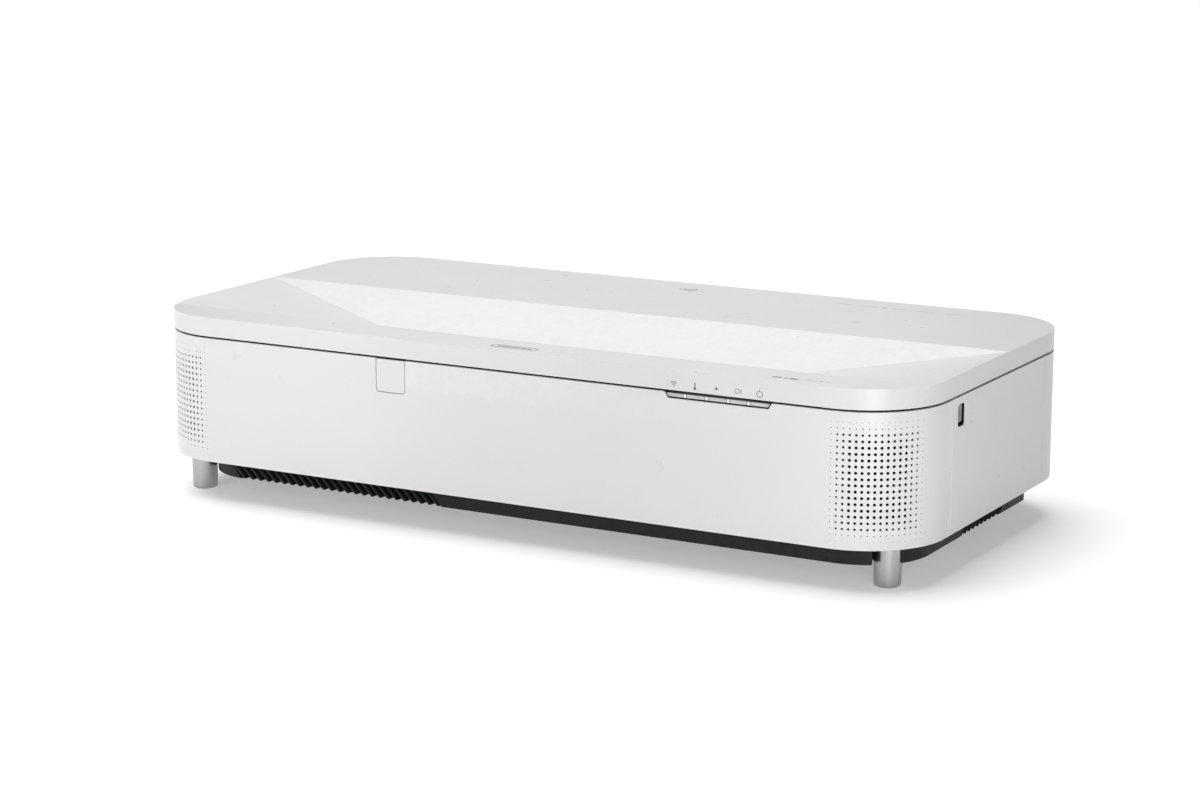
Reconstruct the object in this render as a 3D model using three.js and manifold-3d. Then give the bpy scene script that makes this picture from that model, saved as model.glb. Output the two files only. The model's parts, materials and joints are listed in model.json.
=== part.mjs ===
// Ultra short throw home projector, built as separate pieces.
// Millimetres, +Z up, +X to the right when facing the front panel, front at -Y.
// Origin: on the table, under the middle of the housing.

import * as THREE from "three";
import { ConvexGeometry } from "three/addons/geometries/ConvexGeometry.js";
import { mergeVertices } from "three/addons/utils/BufferGeometryUtils.js";
import Module from "manifold-3d";

const wasm = await Module();
wasm.setup();

// ---------------------------------------------------------------- driving dimensions

const WIDTH = 695;
const DEPTH = 341;
const HEIGHT = 155;
const CORNER_R = 66;
const WALL = 2.5; // thickness of the moulded shells
const CLEAR = 0.3; // gap between pieces that touch
const ARC_STEPS = 10; // facets on each quarter of a housing corner

const BODY_Z0 = 33; // lower edge of the white walls
const BODY_Z1 = 137.7; // upper edge of the white walls
const COVER_Z0 = 139.3; // lower edge of the top cover
const BASE_Z0 = 19; // underside of the black base tray
const PAN_Z1 = 36; // upper face of the bottom pan

const SEAM_FRONT = -92; // where the wrap-around front panel ends on each side
const SEAM_REAR = 98; // where the wrap-around rear panel starts on each side
const SEAM_GAP = 0.8;

const HALF_W = WIDTH / 2;
const HALF_D = DEPTH / 2;

// The light recess in the top: a long rear slope, a steep front slope and two side facets.
const RECESS_REAR = 18;
const RECESS_FRONT = -131;
const VALLEY_Y = -84;
const FLOOR_SLOPE = 0.42;
const FACET_SLOPE = 0.15;
const VALLEY_DEPTH = FLOOR_SLOPE * (RECESS_REAR - VALLEY_Y);
const FRONT_SLOPE = VALLEY_DEPTH / (VALLEY_Y - RECESS_FRONT);

const ENGINE_Z = 80; // optical axis height
const DECK_Z = 41.3; // parts of the light engine stand on the chassis at this height
const TURN = Math.PI / 180;

// ---------------------------------------------------------------- geometry helpers

// A closed three.js geometry as a manifold solid.
function solid(geometry) {
  const plain = new THREE.BufferGeometry();
  const source = geometry.index ? geometry.toNonIndexed() : geometry;
  plain.setAttribute("position", source.getAttribute("position"));
  const merged = mergeVertices(plain, 1e-4);
  return new wasm.Manifold(new wasm.Mesh({
    numProp: 3,
    vertProperties: new Float32Array(merged.attributes.position.array),
    triVerts: new Uint32Array(merged.index.array),
  }));
}

// A manifold solid as a three.js geometry.
function geometryOf(made) {
  const mesh = made.getMesh();
  const geometry = new THREE.BufferGeometry();
  geometry.setAttribute("position", new THREE.BufferAttribute(mesh.vertProperties, 3));
  geometry.setIndex(new THREE.BufferAttribute(mesh.triVerts, 1));
  const flat = geometry.toNonIndexed();
  flat.computeVertexNormals();
  return flat;
}

function union(parts) {
  return parts.reduce((sum, part) => sum.add(part));
}

function cut(body, tools) {
  return tools.reduce((left, tool) => left.subtract(tool), body);
}

// A block between two corners.
function block(x0, x1, y0, y1, z0, z1) {
  const box = new THREE.BoxGeometry(x1 - x0, y1 - y0, z1 - z0);
  box.translate((x0 + x1) / 2, (y0 + y1) / 2, (z0 + z1) / 2);
  return solid(box);
}

// A rounded rectangle; radii run front left, front right, rear right, rear left.
function roundedShape(x0, x1, y0, y1, radii) {
  const [fl, fr, rr, rl] = radii;
  const shape = new THREE.Shape();
  shape.moveTo(x0 + fl, y0);
  shape.absarc(x1 - fr, y0 + fr, fr, -Math.PI / 2, 0, false);
  shape.absarc(x1 - rr, y1 - rr, rr, 0, Math.PI / 2, false);
  shape.absarc(x0 + rl, y1 - rl, rl, Math.PI / 2, Math.PI, false);
  shape.absarc(x0 + fl, y0 + fl, fl, Math.PI, 1.5 * Math.PI, false);
  return shape;
}

function prism(shape, z0, z1, steps = ARC_STEPS) {
  const settings = { depth: z1 - z0, bevelEnabled: false, curveSegments: steps };
  const geometry = new THREE.ExtrudeGeometry(shape, settings);
  geometry.translate(0, 0, z0);
  return solid(geometry);
}

// The housing's outline, moved inwards, as a prism.
function housingPrism(inset, z0, z1) {
  const r = CORNER_R - inset;
  const shape = roundedShape(
    -HALF_W + inset, HALF_W - inset, -HALF_D + inset, HALF_D - inset, [r, r, r, r]);
  return prism(shape, z0, z1);
}

function housingRing(inset, thickness, z0, z1) {
  return housingPrism(inset, z0, z1).subtract(housingPrism(inset + thickness, z0 - 1, z1 + 1));
}

// A polygon in the XZ plane, pushed along Y.
function plateXZ(points, y0, y1) {
  const shape = new THREE.Shape(points.map(([x, z]) => new THREE.Vector2(x, z)));
  const geometry = new THREE.ExtrudeGeometry(shape, { depth: y1 - y0, bevelEnabled: false });
  geometry.rotateX(Math.PI / 2);
  geometry.translate(0, y1, 0);
  return solid(geometry);
}

// A polygon in the YZ plane, pushed along X.
function plateYZ(points, x0, x1) {
  const shape = new THREE.Shape(points.map(([y, z]) => new THREE.Vector2(y, z)));
  const geometry = new THREE.ExtrudeGeometry(shape, { depth: x1 - x0, bevelEnabled: false });
  geometry.rotateX(Math.PI / 2);
  geometry.rotateZ(Math.PI / 2);
  geometry.translate(x0, 0, 0);
  return solid(geometry);
}

// A turned solid around +Z; the profile runs from low to high and starts and ends on the axis.
function turned(profile, steps = 20) {
  return new THREE.LatheGeometry(
    profile.map(([r, z]) => new THREE.Vector2(r, z)), steps).rotateX(Math.PI / 2);
}

// A turned ring around +Z, from the corners of its section in counter-clockwise order.
function turnedRing(section, steps = 20) {
  return turned([...section, section[0]], steps);
}

function rod(radius, z0, z1, steps = 20) {
  return turned([[0, z0], [radius, z0], [radius, z1], [0, z1]], steps);
}

// The recess as a solid up to height top, its planes lowered square to themselves by drop.
function recessSolid(drop, top) {
  const floorDrop = drop * Math.hypot(1, FLOOR_SLOPE);
  const frontDrop = drop * Math.hypot(1, FRONT_SLOPE);
  const sideDrop = drop * Math.hypot(1, FACET_SLOPE);
  const rise = top - HEIGHT;
  const rearY = RECESS_REAR + (rise + floorDrop) / FLOOR_SLOPE;
  const frontY = RECESS_FRONT - (rise + frontDrop) / FRONT_SLOPE;
  const sideX = HALF_W + (rise + sideDrop) / FACET_SLOPE;
  const valleyY = (FLOOR_SLOPE * RECESS_REAR + floorDrop + FRONT_SLOPE * RECESS_FRONT - frontDrop)
    / (FLOOR_SLOPE + FRONT_SLOPE);
  const depth = FLOOR_SLOPE * (RECESS_REAR - valleyY) + floorDrop;
  const valleyX = HALF_W - (depth - sideDrop) / FACET_SLOPE;
  const points = [];
  for (const side of [-1, 1]) {
    points.push(new THREE.Vector3(side * sideX, rearY, top));
    points.push(new THREE.Vector3(side * sideX, frontY, top));
    points.push(new THREE.Vector3(side * valleyX, valleyY, HEIGHT - depth));
  }
  return solid(new ConvexGeometry(points));
}

// Slots side by side along one direction, as cutting blocks.
function slotRow(count, pitch, makeSlot) {
  return Array.from({ length: count }, (_, i) => makeSlot((i - (count - 1) / 2) * pitch));
}

// ---------------------------------------------------------------- the object and its materials

const projector = new THREE.Group();

const finishes = {
  whiteShell: { color: 0xf2f2f2, roughness: 0.35, metalness: 0 },
  blackPlastic: { color: 0x1b1b1c, roughness: 0.6, metalness: 0 },
  smokedPlastic: { color: 0xe4e4e4, roughness: 0.2, metalness: 0 },
  lightBar: { color: 0xb9babb, roughness: 0.3, metalness: 0 },
  satinMetal: { color: 0xa9a9a9, roughness: 0.35, metalness: 1 },
  castMetal: { color: 0x8d8f92, roughness: 0.55, metalness: 1 },
  copper: { color: 0xb06a3a, roughness: 0.4, metalness: 1 },
  mirror: { color: 0xf5f5f5, roughness: 0.02, metalness: 1 },
  glass: { color: 0xdfe8ec, roughness: 0.03, metalness: 0 },
  rubber: { color: 0x161616, roughness: 0.9, metalness: 0 },
  board: { color: 0x1f4a33, roughness: 0.5, metalness: 0 },
  filterFoam: { color: 0xd8d8d2, roughness: 0.95, metalness: 0 },
  cone: { color: 0x2a2a2b, roughness: 0.8, metalness: 0 },
};

const materials = Object.fromEntries(Object.entries(finishes).map(
  ([name, settings]) => [name, new THREE.MeshStandardMaterial(settings)]));

// Adds one named piece, from a geometry or a manifold solid.
function piece(name, shape, material, parent = projector) {
  const geometry = shape.isBufferGeometry ? shape : geometryOf(shape);
  const mesh = new THREE.Mesh(geometry, materials[material]);
  mesh.name = name;
  parent.add(mesh);
  return mesh;
}

// ---------------------------------------------------------------- window slope frame

// The steep front slope of the recess has its own frame: x across, y down the slope, z out of it.
const slopeFrame = new THREE.Group();
slopeFrame.position.set(0, (RECESS_FRONT + VALLEY_Y) / 2, HEIGHT - VALLEY_DEPTH / 2);
slopeFrame.rotation.x = -Math.atan(FRONT_SLOPE);
slopeFrame.updateMatrixWorld(true);
projector.add(slopeFrame);

const WINDOW_HALF_X = 75;
const WINDOW_Y0 = -22;
const WINDOW_Y1 = 20;

// A block given in the slope's frame, as a solid in the projector's frame.
function slopeBlock(x0, x1, y0, y1, z0, z1) {
  const box = new THREE.BoxGeometry(x1 - x0, y1 - y0, z1 - z0);
  box.translate((x0 + x1) / 2, (y0 + y1) / 2, (z0 + z1) / 2);
  box.applyMatrix4(slopeFrame.matrixWorld);
  return solid(box);
}

// ---------------------------------------------------------------- top cover

function topCover() {
  const skirt = housingPrism(0, COVER_Z0, HEIGHT)
    .subtract(housingPrism(WALL, COVER_Z0 - 1, HEIGHT - WALL));
  const tub = recessSolid(WALL, HEIGHT - WALL + 0.5).intersect(housingPrism(1, 60, HEIGHT - 1));
  const opening = slopeBlock(-WINDOW_HALF_X, WINDOW_HALF_X, WINDOW_Y0, WINDOW_Y1, -6, 6);
  return cut(skirt.add(tub), [recessSolid(0, HEIGHT + 5), opening]);
}

piece("top_cover", topCover(), "whiteShell");

// The dark ring behind the groove between cover and walls, cut away behind the indicator bar.
piece("parting_gasket", cut(housingRing(WALL + CLEAR, WALL, 134, 143),
  [block(142, 240, -HALF_D, -HALF_D + 12, 130, 145)]), "blackPlastic");

// ---------------------------------------------------------------- walls

const RECEIVER = { x0: -115, x1: -87.6, z0: 110.4 };
const BAR = { x0: 145.5, x1: 235.5, z0: 133, lean: 0.64, split: 217.3, gap: 0.4 };

// Outline between two heights; each end is its place at the top edge and how far it leans inwards.
function barOutline(z0, z1, [x0, lean0], [x1, lean1]) {
  const left = (z) => x0 + lean0 * (BODY_Z1 - z);
  const right = (z) => x1 - lean1 * (BODY_Z1 - z);
  return [[left(z0), z0], [right(z0), z0], [right(z1), z1], [left(z1), z1]];
}

function frontPanel() {
  const wall = housingRing(0, WALL, BODY_Z0, BODY_Z1)
    .intersect(block(-400, 400, -200, SEAM_FRONT, 0, 200));
  const receiverNotch = block(RECEIVER.x0, RECEIVER.x1, -180, -160, RECEIVER.z0, 145);
  const barNotch = barOutline(BAR.z0, BODY_Z1 + 1, [BAR.x0, BAR.lean], [BAR.x1, BAR.lean]);
  return cut(wall, [receiverNotch, plateXZ(barNotch, -180, -160)]);
}

piece("front_panel", frontPanel(), "whiteShell");

piece("receiver_window", block(RECEIVER.x0 + CLEAR, RECEIVER.x1 - CLEAR, -HALF_D + 0.2, -HALF_D + WALL,
  RECEIVER.z0 + CLEAR, BODY_Z1 - CLEAR), "smokedPlastic");

// Five lit segments hang under the parting groove; the last one is the power button.
function barSegment(start, end) {
  const face = -HALF_D + 0.5;
  return plateXZ(barOutline(BAR.z0 + BAR.gap, BODY_Z1 - BAR.gap, start, end), face, face + 9);
}

piece("indicator_bar", barSegment([BAR.x0 + BAR.gap, BAR.lean], [BAR.split - BAR.gap, 0]), "lightBar");
piece("power_button", barSegment([BAR.split + BAR.gap, 0], [BAR.x1 - BAR.gap, BAR.lean]), "lightBar");

const LATCH = { y0: -82, y1: -68.5, z0: 114.5, z1: 131.5, depth: 6 };

// The right side cover swings on its rear edge and carries the pocket of its latch.
function sideCover() {
  const plate = block(HALF_W - WALL, HALF_W, SEAM_FRONT + SEAM_GAP, SEAM_REAR - SEAM_GAP,
    BODY_Z0 + 0.4, BODY_Z1 - CLEAR);
  const tray = block(HALF_W - WALL - LATCH.depth, HALF_W - 1, LATCH.y0 - 1.5, LATCH.y1 + 1.5,
    LATCH.z0 - 1.5, LATCH.z1 + 1.5);
  const hollow = block(HALF_W - WALL - LATCH.depth + 1.5, HALF_W + 1, LATCH.y0, LATCH.y1,
    LATCH.z0, LATCH.z1);
  return plate.add(tray).subtract(hollow);
}

piece("side_cover", sideCover(), "whiteShell");
piece("side_latch", block(HALF_W - 6.6, HALF_W - 1.4, LATCH.y0 + 0.4, LATCH.y1 - 3,
  LATCH.z0 + 2.6, LATCH.z1 - 0.4), "lightBar");

function leftSidePanel() {
  const plate = block(-HALF_W, -HALF_W + WALL, SEAM_FRONT + SEAM_GAP, SEAM_REAR - SEAM_GAP,
    BODY_Z0 + 0.4, BODY_Z1 - CLEAR);
  const slots = slotRow(14, 8, (offset) =>
    block(-360, -330, 40 + offset - 2.5, 40 + offset + 2.5, 46, 122));
  return cut(plate, slots);
}

piece("left_side_panel", leftSidePanel(), "whiteShell");

const BAY = { halfX: 160, z1: 100, backY: 110.5 };

function rearPanel() {
  const wall = housingRing(0, WALL, BODY_Z0, BODY_Z1)
    .intersect(block(-400, 400, SEAM_REAR, 200, 0, 200));
  const bayMouth = block(-BAY.halfX, BAY.halfX, 150, 180, 0, BAY.z1);
  const slots = [-1, 1].flatMap((side) => slotRow(7, 9, (offset) =>
    block(side * 225 - 38, side * 225 + 38, 150, 180, 82 + offset - 2, 82 + offset + 2)));
  return cut(wall, [bayMouth, ...slots]);
}

piece("rear_panel", rearPanel(), "whiteShell");

// ---------------------------------------------------------------- port bay

// Sockets in the back wall of the bay: outer width and height, wall, and height of the contact tongue.
const PORTS = [
  { name: "power_inlet", x: -120, z: 62, w: 30, h: 23, lip: 3, pins: [-7, 0, 7] },
  { name: "video_port_1", x: -52, z: 62, w: 16, h: 7, lip: 1, tongue: 0.6 },
  { name: "video_port_2", x: -24, z: 62, w: 16, h: 7, lip: 1, tongue: 0.6 },
  { name: "data_port", x: 6, z: 62, w: 15, h: 8.4, lip: 1, tongue: 2 },
  { name: "network_port", x: 38, z: 62, w: 17, h: 14, lip: 1, tongue: 5 },
];
const SOCKET = {
  back: BAY.backY - 16, floor: BAY.backY - 11, front: BAY.backY + 1, contacts: BAY.backY - 2,
};

function portBay() {
  const { halfX, z1, backY } = BAY;
  const outer = block(-halfX - WALL, halfX + WALL, backY - WALL, HALF_D - WALL - CLEAR,
    PAN_Z1 + CLEAR, z1 + WALL);
  const hollow = block(-halfX, halfX, backY, HALF_D + 10, 0, z1);
  const holes = PORTS.map(({ x, z, w, h }) =>
    block(x - w / 2 - CLEAR, x + w / 2 + CLEAR, backY - 10, backY + 5,
      z - h / 2 - CLEAR, z + h / 2 + CLEAR));
  return cut(outer, [hollow, ...holes]);
}

piece("port_bay", portBay(), "blackPlastic");

function socket({ x, z, w, h, lip, pins, tongue }) {
  const { back, floor, front, contacts } = SOCKET;
  const shell = block(x - w / 2, x + w / 2, back, front, z - h / 2, z + h / 2);
  const mouth = block(x - w / 2 + lip, x + w / 2 - lip, floor, front + 2, z - h / 2 + lip, z + h / 2 - lip);
  const inside = pins
    ? pins.map((dx) => block(x + dx - 1, x + dx + 1, floor - 1, contacts, z - 4.5, z - 1.5))
    : [block(x - w / 2 + lip + 2, x + w / 2 - lip - 2, floor - 1, contacts, z + tongue, z + tongue + 1)];
  return union([shell.subtract(mouth), ...inside]);
}

for (const port of PORTS) {
  piece(port.name, socket(port), port.pins ? "blackPlastic" : "satinMetal");
}

// ---------------------------------------------------------------- underside

const FOOT = { x: 315, y: -133, r: 10.8, travel: 10 };
const REAR_FOOT = { x: 270, y: 125, r: 10 };
const FOCUS_PIVOT = { x: 318, y: -46.7, z: 99.5 };
const FOCUS_ROD = { y: -61, z0: 113, z1: 115.5, halfY: 2 };

// A post with a hole that carries the focus rod.
function rodGuide(x, z0) {
  const { y, z1, halfY } = FOCUS_ROD;
  const post = block(x - 3, x + 3, y - 4, y + 4, z0, z1 + 1.2);
  return post.subtract(block(x - 5, x + 5, y - halfY - CLEAR, y + halfY + CLEAR,
    FOCUS_ROD.z0 - CLEAR, z1 + CLEAR));
}

function at(geometry, x, y, z = 0) {
  return geometry.translate(x, y, z);
}

function bottomPan() {
  const plate = housingPrism(WALL + CLEAR, BODY_Z0 + 0.2, PAN_Z1);
  const bay = block(-BAY.halfX - 3, BAY.halfX + 3, BAY.backY - 3, 200, 0, 60);
  const feet = [-1, 1].map((side) => solid(at(rod(FOOT.r + 0.9, 0, 60), side * FOOT.x, FOOT.y)));
  const inlet = slotRow(9, 18, (offset) => block(210 + offset - 5, 210 + offset + 5, -60, 50, 0, 60));
  const post = solid(at(rod(3, PAN_Z1 - 1, FOCUS_PIVOT.z, 12), FOCUS_PIVOT.x, FOCUS_PIVOT.y));
  return union([cut(plate, [bay, ...feet, ...inlet]), post, rodGuide(280, PAN_Z1 - 1)]);
}

piece("bottom_pan", bottomPan(), "blackPlastic");

const BASE = { x0: -309, x1: 335.3, y0: -158.3, y1: 98 };
const RIB = { pitch: 7.9, gap: 4, depth: 11, z1: 29.5 };

// The black tray under the housing: ribbed air inlets at its front left and on its right side.
function baseTray() {
  const z1 = BODY_Z0 - 0.1;
  const { x0, x1, y0, y1 } = BASE;
  const body = prism(roundedShape(x0, x1, y0, y1, [54, 54, 8, 8]), BASE_Z0, z1);
  const hollow = prism(roundedShape(x0 + WALL, x1 - WALL, y0 + WALL, y1 - WALL, [51.5, 51.5, 5.5, 5.5]),
    BASE_Z0 + WALL, z1 + 5);
  const frontRibs = slotRow(25, RIB.pitch, (offset) =>
    block(-167 + offset - RIB.gap / 2, -167 + offset + RIB.gap / 2, y0 - 5, y0 + RIB.depth,
      BASE_Z0 - 5, RIB.z1));
  const sideRibs = slotRow(10, 8.4, (offset) =>
    block(x1 - RIB.depth, x1 + 5, 5 + offset - RIB.gap / 2, 5 + offset + RIB.gap / 2,
      BASE_Z0 - 5, RIB.z1));
  const reach = FOOT.r + 1.2;
  const notch = solid(at(rod(reach, 0, 60), FOOT.x, FOOT.y))
    .add(block(FOOT.x - 1, FOOT.x + reach, y0 - 5, FOOT.y, 0, 60));
  const floorSlots = slotRow(9, 18, (offset) =>
    block(210 + offset - 5, 210 + offset + 5, -60, 50, 0, 60));
  return cut(body, [hollow, ...frontRibs, ...sideRibs, notch, ...floorSlots]);
}

piece("base_tray", baseTray(), "blackPlastic");

for (const [word, side] of [["left", -1], ["right", 1]]) {
  const leg = turned([
    [0, 0], [FOOT.r - 1.6, 0], [FOOT.r, 1.6], [FOOT.r, 44], [4, 44], [4, 52], [0, 52],
  ], 32);
  piece("front_foot_" + word, leg, "satinMetal").position.set(side * FOOT.x, FOOT.y, 0);
  const socket = turnedRing([
    [11.2, PAN_Z1 + CLEAR], [14, PAN_Z1 + CLEAR], [14, 48], [8, 48],
    [8, 54], [4.4, 54], [4.4, 45], [11.2, 45],
  ], 24);
  piece("foot_socket_" + word, socket, "castMetal").position.set(side * FOOT.x, FOOT.y, 0);
  const stub = turned([
    [0, 0], [REAR_FOOT.r - 1, 0], [REAR_FOOT.r, 1], [REAR_FOOT.r, 6], [REAR_FOOT.r - 2, 8],
    [REAR_FOOT.r - 2, BODY_Z0 - 0.1], [0, BODY_Z0 - 0.1],
  ], 24);
  piece("rear_foot_" + word, stub, "rubber").position.set(side * REAR_FOOT.x, REAR_FOOT.y, 0);
}

// ---------------------------------------------------------------- shutter and window

const SHUTTER = { x0: -79, x1: 79, y0: -26, y1: 30, z0: -5.2, z1: -3.2 };
const RACK = { y0: 24.5, y1: 29.5, x0: -112, x1: 66, pitchZ: -8.2 };
const GEAR = { x: -97, module: 1, teeth: 12, addendum: 0.8, dedendum: 1.1, thin: 0.78 };
const TOOTH_PITCH = Math.PI * GEAR.module;
const GEAR_R = GEAR.module * GEAR.teeth / 2;

// Flank half widths of a tooth at its root, pitch line and tip.
const HALF_PITCH_W = TOOTH_PITCH / 4 * GEAR.thin;
const FLANK = Math.tan(20 * TURN);

function lensShutter() {
  const { x0, x1, y0, y1, z0, z1 } = SHUTTER;
  const plate = block(x0, x1, y0, y1, z0, z1);
  const rootZ = RACK.pitchZ + GEAR.dedendum;
  const outline = [[RACK.x0, z0 + 0.5], [RACK.x0, rootZ]];
  const first = Math.ceil((RACK.x0 + 2 - GEAR.x) / TOOTH_PITCH - 0.5);
  const last = Math.floor((RACK.x1 - 2 - GEAR.x) / TOOTH_PITCH - 0.5);
  for (let i = first; i <= last; i += 1) {
    const middle = GEAR.x + (i + 0.5) * TOOTH_PITCH;
    const atRoot = HALF_PITCH_W + GEAR.dedendum * FLANK;
    const atTip = HALF_PITCH_W - GEAR.addendum * FLANK;
    outline.push([middle - atRoot, rootZ], [middle - atTip, RACK.pitchZ - GEAR.addendum]);
    outline.push([middle + atTip, RACK.pitchZ - GEAR.addendum], [middle + atRoot, rootZ]);
  }
  outline.push([RACK.x1, rootZ], [RACK.x1, z0 + 0.5]);
  return plate.add(plateXZ(outline.reverse(), RACK.y0, RACK.y1));
}

piece("lens_shutter", lensShutter(), "whiteShell", slopeFrame);

const RAIL_X0 = -244;
const RAIL_X1 = 86;
piece("shutter_rail_upper", block(RAIL_X0, RAIL_X1, -29.6, -26.4, -8, -2.8), "blackPlastic", slopeFrame);
piece("shutter_rail_lower", block(RAIL_X0, RAIL_X1, 30.4, 33.2, -8, -2.8), "blackPlastic", slopeFrame);

function windowFrame() {
  const outer = block(-82, 82, -25.6, 23.6, -15, -7);
  const sight = block(-WINDOW_HALF_X, WINDOW_HALF_X, WINDOW_Y0, WINDOW_Y1, -30, 0);
  const seat = block(-78, 78, -24, 22, -13, 0);
  return cut(outer, [sight, seat]);
}

piece("window_frame", windowFrame(), "blackPlastic", slopeFrame);
piece("projection_window", block(-77.7, 77.7, -23.7, 21.7, -12.7, -9.7), "glass", slopeFrame);

// The pinion's axis lies down the slope; its top tooth stands in a gap of the shutter's rack.
function pinionShape() {
  const shape = new THREE.Shape();
  const tip = GEAR_R + GEAR.addendum;
  const root = GEAR_R - GEAR.dedendum;
  const halfPitchAngle = HALF_PITCH_W / GEAR_R;
  const halfTip = halfPitchAngle - GEAR.addendum * FLANK / GEAR_R;
  const halfRoot = halfPitchAngle + GEAR.dedendum * FLANK / root;
  const points = [];
  for (let i = 0; i < GEAR.teeth; i += 1) {
    const middle = Math.PI / 2 + i * 2 * Math.PI / GEAR.teeth;
    for (const [angle, r] of [[-halfRoot, root], [-halfTip, tip], [halfTip, tip], [halfRoot, root]]) {
      points.push(new THREE.Vector2(r * Math.cos(middle + angle), r * Math.sin(middle + angle)));
    }
  }
  shape.setFromPoints(points);
  return shape;
}

function shutterPinion() {
  const gear = new THREE.ExtrudeGeometry(pinionShape(), { depth: 4, bevelEnabled: false });
  gear.rotateX(Math.PI / 2);
  gear.translate(0, RACK.y1 - 0.5, 0);
  const shaft = rod(1.5, RACK.y1 - 2, 36, 10).rotateX(-Math.PI / 2);
  return solid(gear).add(solid(shaft));
}

const PINION_Z = RACK.pitchZ - GEAR_R;
piece("shutter_pinion", shutterPinion(), "blackPlastic", slopeFrame).position.set(GEAR.x, 0, PINION_Z);
const motor = turnedRing([[1.9, 34.5], [9, 34.5], [9, 52], [1.9, 52]], 20).rotateX(-Math.PI / 2);
piece("shutter_motor", motor, "satinMetal", slopeFrame).position.set(GEAR.x, 0, PINION_Z);

// ---------------------------------------------------------------- mirror and projection lens

const MIRROR = { y: -87, z: 110.6, r: 70, thick: 4, from: 168, to: 240, halfX: 82 };

// The concave mirror is a bent slab: it turns the beam up and back through the window.
function concaveMirror() {
  const { y, z, r, thick, from, to, halfX } = MIRROR;
  const shape = new THREE.Shape();
  shape.absarc(y, z, r + thick, from * TURN, to * TURN, false);
  shape.absarc(y, z, r, to * TURN, from * TURN, true);
  const settings = { depth: 2 * halfX, bevelEnabled: false, curveSegments: 14 };
  const slab = new THREE.ExtrudeGeometry(shape, settings);
  slab.rotateX(Math.PI / 2);
  slab.rotateZ(Math.PI / 2);
  return slab.translate(-halfX, 0, 0);
}

piece("concave_mirror", concaveMirror(), "mirror");

piece("mirror_cradle", union([
  block(-87, 87, -165, -104, PAN_Z1 + CLEAR, 44),
  block(-86, -MIRROR.halfX - CLEAR, -164, -105, 42, 106),
  block(MIRROR.halfX + CLEAR, 86, -164, -105, 42, 106),
]), "castMetal");

// The barrel points at the mirror, along -Y.
const barrel = turnedRing([
  [14, -14], [22, -14], [22, 30], [26.5, 34], [26.5, 54], [24.5, 54], [24.5, 68], [26.5, 68], [26.5, 78],
  [20.2, 78], [20.2, 69], [14, 69],
], 32).rotateX(Math.PI / 2);
piece("lens_barrel", barrel, "blackPlastic").position.set(0, 0, ENGINE_Z);

const frontLens = turned([[0, 70], [19.6, 72], [19.6, 76], [12, 79], [0, 80.5]], 28).rotateX(Math.PI / 2);
piece("front_lens", frontLens, "glass").position.set(0, 0, ENGINE_Z);

// The focus ring turns in the barrel's groove; its tab stands in the rod's fork.
const RING = { y0: -67, y1: -55 };
function focusRing() {
  const ring = turnedRing([[24.9, -RING.y1], [27.5, -RING.y1], [27.5, -RING.y0], [24.9, -RING.y0]], 32)
    .rotateX(Math.PI / 2);
  return solid(ring).add(block(-2.3, 2.3, -63, -59, 26.4, 32));
}

piece("focus_ring", focusRing(), "satinMetal").position.set(0, 0, ENGINE_Z);

function focusRod() {
  const { y, z0, z1, halfY } = FOCUS_ROD;
  const bar = block(-6.2, 312.5, y - halfY, y + halfY, z0, z1);
  const tines = [-4.7, 4.7].map((x) => block(x - 1.5, x + 1.5, y - halfY, y + halfY, 108.5, z0 + 1));
  const eye = block(312, 324, y - 5, y + 5, z0, z1)
    .subtract(block(315.2, 320.8, y - 3.2, y + 3.2, z0 - 3, z1 + 3));
  return union([bar, ...tines, eye]);
}

piece("focus_rod", focusRod(), "satinMetal");

// A bell crank behind the side cover: its knob moves front to back and its pin pushes the rod.
function focusLever() {
  const { x, y, z } = FOCUS_PIVOT;
  const hub = solid(at(rod(4.5, z + CLEAR, z + 6, 16), x, y));
  const arm = block(x, x + 19, y - 2, y + 2, z + CLEAR, z + 4);
  const knob = block(x + 17, x + 23, y - 4, y + 4, z - 4, z + 8);
  const drive = block(x - 2.4, x + 2.4, FOCUS_ROD.y - 2.4, y, z + CLEAR, z + 4);
  const pin = solid(at(rod(2, z + 2, 117.5, 12), x, FOCUS_ROD.y));
  return union([hub, arm, knob, drive, pin]);
}

piece("focus_lever", focusLever(), "blackPlastic");

// ---------------------------------------------------------------- light engine

function engineChassis() {
  const floor = block(-226, 60, -50, 88, PAN_Z1 + CLEAR, DECK_Z - CLEAR);
  const lensPlate = block(-32, 32, 2, 8, DECK_Z - 1, 108)
    .subtract(solid(rod(22.4, -20, 20, 32).rotateX(Math.PI / 2).translate(0, 5, ENGINE_Z)));
  const pedestal = block(-10, 10, 19, 39, DECK_Z - 1, ENGINE_Z - 11 - CLEAR);
  const tongue = block(40, 56, -68, -49, PAN_Z1 + CLEAR, DECK_Z - CLEAR);
  return union([floor, lensPlate, pedestal, tongue, rodGuide(48, DECK_Z - 1)]);
}

piece("engine_chassis", engineChassis(), "castMetal");
piece("prism_cube", block(-11, 11, 18, 40, ENGINE_Z - 11, ENGINE_Z + 11), "glass");

// Each panel is a carrier that stands on the chassis, with a sight hole.
function lcdPanel() {
  return block(-12.6, 12.6, -1.5, 1.5, DECK_Z, ENGINE_Z + 14)
    .subtract(block(-9, 9, -0.5, 5, ENGINE_Z - 7, ENGINE_Z + 7));
}

const PANELS = [["green", 0, 44, 0], ["red", 15, 29, -90], ["blue", -15, 29, 90]];
for (const [colour, x, y, angle] of PANELS) {
  const panel = piece("lcd_panel_" + colour, lcdPanel(), "smokedPlastic");
  panel.position.set(x, y, 0);
  panel.rotation.z = angle * TURN;
}

const dichroic = piece("dichroic_mirror", block(-22, 22, -1, 1, DECK_Z, ENGINE_Z + 20), "glass");
dichroic.position.set(-52, 62, 0);
dichroic.rotation.z = 45 * TURN;

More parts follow.
